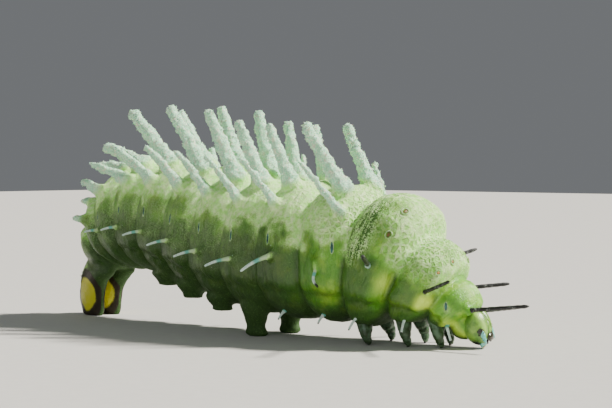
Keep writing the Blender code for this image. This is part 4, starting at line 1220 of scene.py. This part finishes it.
legs = {
    "angle": 160, "ahead": 1.3, "out": 0.3, "knee": 0.5,
    # share of the way from the root to the foot, radius, share of the knee's bend
    "rows": ((-0.35, 1.75, 0.0), (0.05, 1.62, 0.0), (0.22, 1.5, 0.5), (0.31, 1.38, 0.9), (0.33, 1.22, 1.0),
             (0.40, 1.24, 1.0), (0.52, 1.14, 1.0), (0.60, 1.02, 1.0), (0.62, 0.90, 1.0), (0.70, 0.92, 0.8),
             (0.80, 0.80, 0.4), (0.84, 0.66, 0.2), (0.90, 0.55, 0.1), (0.94, 0.40, 0.0)),
    "claw": ((0.88, 0.40), (0.93, 0.36), (0.97, 0.22), (1.0, 0.05)),
    # The legs' colours are painted darker than their own, as the shade under the body
    "green": (0.020, 0.050, 0.008), "grey": (0.08, 0.16, 0.08),
}


def makeLegs(legLook, clawLook):
    for i in range(3):
        for side in (1, -1):
            s = mixed(folds[i], folds[i + 1], 0.5)
            root = skinPoint(s, legs["angle"] * side)[0]
            left, level = directionsAt(s)[1], levelForward(s)
            foot = np.array((root[0], root[1], 0.0)) + level * legs["ahead"] + left * side * legs["out"]
            knee, rows = left * side * legs["knee"], np.array(legs["rows"])
            bm = bmesh.new()
            path = root + (foot - root) * rows[:, :1] + knee * rows[:, 2:3]
            addTube(bm, path, rows[:, 1], 22, 0.9, left)
            claw = np.array(legs["claw"])
            curl = 0.5 * ramp(claw[:, 0], 0.9, 1.0)
            hook = foot + (root - foot) * (1 - claw[:, :1]) - level * curl[:, None]
            paintFaces(addTube(bm, hook, claw[:, 1], 12, 0.8, left), 1)
            for vert in bm.verts:
                vert.co.z = max(vert.co.z, 0.0)
            word = f"{i + 1}_" + ("left" if side > 0 else "right")
            finishPiece(bm, "jointedLeg_" + word, [legLook, clawLook], ["leg_" + word])


# Breathing holes and the scars on the back

marks = {
    # segment index, ahead of the crest, angle, half height
    "breathing": ((0, -0.6, 88, 0.85), (3, 2.2, 82, 1.15), (4, -1.4, 81, 1.15), (5, -1.2, 82, 1.15),
                  (6, -1.2, 82, 1.15), (7, -1.2, 82, 1.15), (8, -1.0, 82, 1.1), (9, -0.8, 82, 1.05),
                  (10, -0.6, 82, 1.1)),
    "breathingWide": 0.27, "rimThick": 0.07,
    "scarRound": 0.85, "scarRims": (0.12, 0.10), "scarInner": (0.74, 0.62), "scarMiddle": (0.62, 0.50, 0.15),
    "scars": ((2, -0.4, 30, 0.78), (2, -0.4, 57, 0.72), (1, 0.5, 22, 0.62), (1, 0.5, 52, 0.50)),
    "rim": (0.24, 0.46, 0.12), "rimPale": (0.60, 0.78, 0.42),
    "teal": (0.001, 0.034, 0.030), "tealLight": (0.004, 0.13, 0.11),
    "scarDark": (0.035, 0.055, 0.012), "scarOlive": (0.14, 0.14, 0.03), "scarBrown": (0.20, 0.11, 0.03),
    "scarOrange": (0.66, 0.26, 0.08),
}


def makeMarks(rimLook, tealLook, darkLook, oliveLook, orangeLook):
    bm = bmesh.new()
    for i, ahead, angle, half in marks["breathing"]:
        for side in (1, -1):
            at, outward, _, _ = skinSpot(crestAt[i] - ahead, angle * side)
            at = at - outward * 0.05
            upright = unit(np.array((0, 0, 1)) - outward * outward[2])
            axes = (upright, np.cross(outward, upright), outward)
            addRing(bm, at, axes, (half, marks["breathingWide"] + 0.06), marks["rimThick"])
            slit = addBead(bm, at, axes, (half - 0.04, marks["breathingWide"], 0.12), 12, 24)
            paintFaces(slit, 1)
    finishPiece(bm, "breathingHoles", [rimLook, tealLook])

    bm = bmesh.new()
    for i, ahead, angle, half in marks["scars"]:
        for side in (1, -1):
            at, outward, along, around = skinSpot(crestAt[i] - ahead, angle * side)
            axes = (around, along, outward)
            outer, inner = marks["scarRims"]
            addRing(bm, at + outward * 0.03, axes, (half, half * marks["scarRound"]), outer, 30)
            wide, long = marks["scarInner"]
            paintFaces(addRing(bm, at + outward * 0.03, axes, (half * wide, half * long), inner, 26), 1)
            wide, long, high = marks["scarMiddle"]
            centre = addBead(bm, at, axes, (half * wide, half * long, high), 8, 18)
            paintFaces(centre, 3 if i == 1 else 2)
    finishPiece(bm, "backScars", [rimLook, darkLook, oliveLook, orangeLook])


# Hooks on the soft legs' soles

hooks = {"count": 18, "length": 0.7, "radius": 0.09, "spread": 1.1, "rim": (1.75, 1.15), "rise": (0.30, 0.16)}


def makeHooks(look):
    bm = bmesh.new()
    for name in softLegs["lift"]:
        i = segmentNames.index(name)
        for side in (1, -1):
            root, sole, along, left = softLegRows(i, side)
            for n in range(hooks["count"]):
                turn = math.pi * (n / (hooks["count"] - 1) - 0.5) * hooks["spread"]
                inner = -left * side
                alongRim, acrossRim = hooks["rim"]
                rim = sole + along * math.sin(turn) * alongRim + inner * math.cos(turn) * acrossRim
                out = unit(along * math.sin(turn) + inner * math.cos(turn))
                steps = np.linspace(0, 1, 6)
                size = hooks["length"] * (1.0 if n % 2 else 0.75)
                rise = hooks["rise"][0] + hooks["rise"][1] * np.cos(steps * np.pi * hooks["spread"])
                path = rim - out * 0.25 + out * (np.sin(steps * np.pi * 0.75) * size)[:, None]
                path[:, 2] = sole[2] + rise
                addTube(bm, path, hooks["radius"] * (1 - 0.8 * steps), 6)
    finishPiece(bm, "soleHooks", [look])


# Flakes of wax that stand on the horns and the back

flakes = {"onHorns": 7000, "onBack": 3500, "size": (0.14, 0.44), "patch": 0.003}


def makeFlakes(skinPiece, look):
    mesh = skinPiece.data
    count = len(mesh.vertices)
    points, normals = meshPlaces(mesh)
    horn, wax = np.empty(count, np.float32), np.empty(count, np.float32)
    mesh.attributes["horn"].data.foreach_get("value", horn)
    mesh.attributes["wax"].data.foreach_get("value", wax)
    chances = (horn ** 1.5, wax ** 3 * (horn < 0.2))
    chosen = np.concatenate([
        randomDraw.choice(count, size=number, replace=False, p=chance / chance.sum())
        for number, chance in zip((flakes["onHorns"], flakes["onBack"]), chances)
    ])
    total = len(chosen)
    size = randomDraw.uniform(*flakes["size"], total) * np.where(horn[chosen] > 0.2, 1.0, 0.6)

    # One chip, a low four-sided cone, is repeated
    bm = bmesh.new()
    bmesh.ops.create_cone(bm, cap_ends=True, segments=4, radius1=0.5, radius2=0.12, depth=1.0)
    bmesh.ops.triangulate(bm, faces=bm.faces)
    chip = np.array([vert.co[:] for vert in bm.verts])
    faces = np.array([[vert.index for vert in face.verts] for face in bm.faces])
    bm.free()
    outward = unit(normals[chosen] + randomDraw.normal(0, 0.35, (total, 3)))
    first = unit(np.cross(outward, randomDraw.normal(0, 1, (total, 3))))
    second = np.cross(outward, first)
    wide = size * randomDraw.uniform(0.6, 1.2, total)
    local = (
        first[:, None, :] * (chip[None, :, 0:1] * wide[:, None, None])
        + second[:, None, :] * (chip[None, :, 1:2] * wide[:, None, None] * 0.45)
        + outward[:, None, :] * ((chip[None, :, 2:3] + 0.15) * size[:, None, None])
    )
    verts = insideBox((points[chosen][:, None, :] + local).reshape(-1, 3)) * mm
    allFaces = (faces[None] + (np.arange(total) * len(chip))[:, None, None]).reshape(-1, 3)
    made = bpy.data.meshes.new("waxFlakes")
    made.from_pydata(verts.tolist(), [], allFaces.tolist())
    s, angle, _ = bodyPlaces(points[chosen])
    layer = made.uv_layers.new(name="OFBake")
    root = np.stack((s / folds[-1], (angle + 180) / 360), -1) * 0.98 + 0.01
    patch = (chip[faces.ravel()][:, :2]) * flakes["patch"]
    layer.data.foreach_set("uv", (root[:, None, :] + patch[None]).astype(np.float32).ravel())
    linkPiece(made, "waxFlakes", [look])
    print("wax flakes:", total)


def makeWaxLook():
    look, tree, shader = startLook("larva_wax", soft=0.15, softScale=mm, shine=0.3)
    where = placeInMm(tree)
    tint = noiseOf(tree, where, 0.9)
    grain = noiseOf(tree, where, 0.12, 2.0)
    colour = blendColour(tree, softStep(tree, tint, 0.36, 0.60), skinLook["hornMint"], skinLook["hornWhite"])
    plug(tree, colour, shader.inputs["Base Color"])
    plug(tree, softStep(tree, grain, 0.3, 0.7, 0.6, 0.85), shader.inputs["Roughness"])
    plug(tree, bumpOf(tree, grain, 0.05), shader.inputs["Normal"])
    return look


# Camera, floor and lights

view = {
    "turn": 41.5, "aim": (25.39, -19.37), "distance": 314.0, "height": 35.5, "down": 1.55, "lens": 100.0,
    "floorHalf": 1.2, "floorColour": (0.62, 0.60, 0.56), "floorGrain": (0.70, 0.68, 0.64),
}


def makeView():
    turn, down = math.radians(view["turn"]), math.radians(view["down"])
    camera = bpy.data.objects.new("camera", bpy.data.cameras.new("camera"))
    bpy.context.scene.collection.objects.link(camera)
    camera.data.lens, camera.data.sensor_width, camera.data.clip_start = view["lens"], 36.0, 0.01
    back = Vector((math.sin(turn), -math.cos(turn), 0)) * view["distance"]
    camera.location = (Vector((*view["aim"], view["height"])) + back) * mm
    look = Vector((-math.sin(turn) * math.cos(down), math.cos(turn) * math.cos(down), -math.sin(down)))
    camera.rotation_euler = look.to_track_quat("-Z", "Y").to_euler()
    bpy.context.scene.camera = camera

    look, tree, shader = startLook("studio_floor")
    where = placeInMm(tree)
    grain = noiseOf(tree, where, 2.5, 4.0)
    plug(tree, blendColour(tree, grain, view["floorColour"], view["floorGrain"]), shader.inputs["Base Color"])
    shader.inputs["Roughness"].default_value = 0.7
    bm = bmesh.new()
    bmesh.ops.create_grid(bm, x_segments=1, y_segments=1, size=view["floorHalf"])
    mesh = bpy.data.meshes.new("floor")
    bm.to_mesh(mesh)
    bm.free()
    mesh.materials.append(look)
    floor = bpy.data.objects.new("floor", mesh)
    bpy.context.scene.collection.objects.link(floor)


lamps = {
    # share to the picture's right, share away from the camera, up, and colour
    "key": (0.80, 0.06, 0.80, (1.0, 0.97, 0.90)), "keyStrength": 8.6, "keySoftness": 6.0,  # degrees
    "fill": (-0.25, -0.95, 0.45, (0.94, 0.98, 1.0)),
    "fillDistance": 0.70, "fillSize": 0.50, "fillPower": 0.95,
    "sky": (0.82, 0.86, 0.90), "skyStrength": 0.20,
}


def makeLight():
    turn = math.radians(view["turn"])
    right = Vector((math.cos(turn), math.sin(turn), 0))
    away = Vector((-math.sin(turn), math.cos(turn), 0))
    for name, kind in (("key", "SUN"), ("fill", "AREA")):
        toRight, toBack, up, colour = lamps[name]
        lamp = bpy.data.objects.new(name, bpy.data.lights.new(name, kind))
        lamp.data.color = colour
        way = (right * toRight + away * toBack + Vector((0, 0, up))).normalized()
        lamp.location = Vector((0, 0, 0.015)) + way * lamps["fillDistance"]
        lamp.rotation_euler = way.to_track_quat("Z", "Y").to_euler()
        bpy.context.scene.collection.objects.link(lamp)
        if kind == "SUN":
            lamp.data.energy, lamp.data.angle = lamps["keyStrength"], math.radians(lamps["keySoftness"])
        else:
            lamp.data.energy, lamp.data.size = lamps["fillPower"], lamps["fillSize"]
    world = bpy.data.worlds.new("studio")
    world.use_nodes = True
    sky = world.node_tree.nodes["Background"]
    sky.inputs[0].default_value = (*lamps["sky"], 1.0)
    sky.inputs[1].default_value = lamps["skyStrength"]
    bpy.context.scene.world = world


skinPiece = makeSkin(makeSkinLook())
makeHead(makeHeadLook())
tealHorn = makeHornLook("larva_teal", mouth["teal"], mouth["tealPale"], 0.5)
darkHorn = makeHornLook("larva_dark_horn", mouth["dark"], mouth["brown"], 0.6, (0.12, 0.3), 0.6)
amberHorn = makeHornLook("larva_amber", mouth["amber"], mouth["pale"], 0.4)
paleHorn = makeHornLook("larva_pale_horn", mouth["pale"], mouth["tealPale"], 0.5)
lipHorn = makeHornLook("larva_lip", mouth["brown"], mouth["lip"], 0.7, (0.15, 0.3), 0.5)
makeMouth(tealHorn, darkHorn, amberHorn, paleHorn, lipHorn)
print("head and mouthparts done")
makeSpines(makeFilamentLook(), makeSideSpineLook("larva_side_spine", 0.20, 0.32, 0.90),
           makeSideSpineLook("larva_small_spine", 0.04, 0.16, 0.86))
makeLegs(makeHornLook("larva_leg", legs["green"], legs["grey"], 1.0, (0.3, 0.5), 0.2), darkHorn)
makeMarks(
    makeHornLook("larva_mark_rim", marks["rim"], marks["rimPale"], 0.5, (0.5, 0.7), 0.0),
    makeHornLook("larva_breathing", marks["teal"], marks["tealLight"], 0.5, (0.2, 0.4), 0.4),
    makeHornLook("larva_scar", marks["scarDark"], skinLook["poreGreen"], 0.4, (0.4, 0.6), 0.0),
    makeHornLook("larva_scar_olive", marks["scarOlive"], marks["scarBrown"], 0.5, (0.4, 0.6), 0.0),
    makeHornLook("larva_scar_orange", marks["scarOrange"], marks["scarBrown"], 0.5, (0.4, 0.6), 0.0),
)
makeHooks(darkHorn)
print("spines, legs and marks done")
makeFlakes(skinPiece, makeWaxLook())
makeView()
makeLight()
print("camera, floor and lights done")
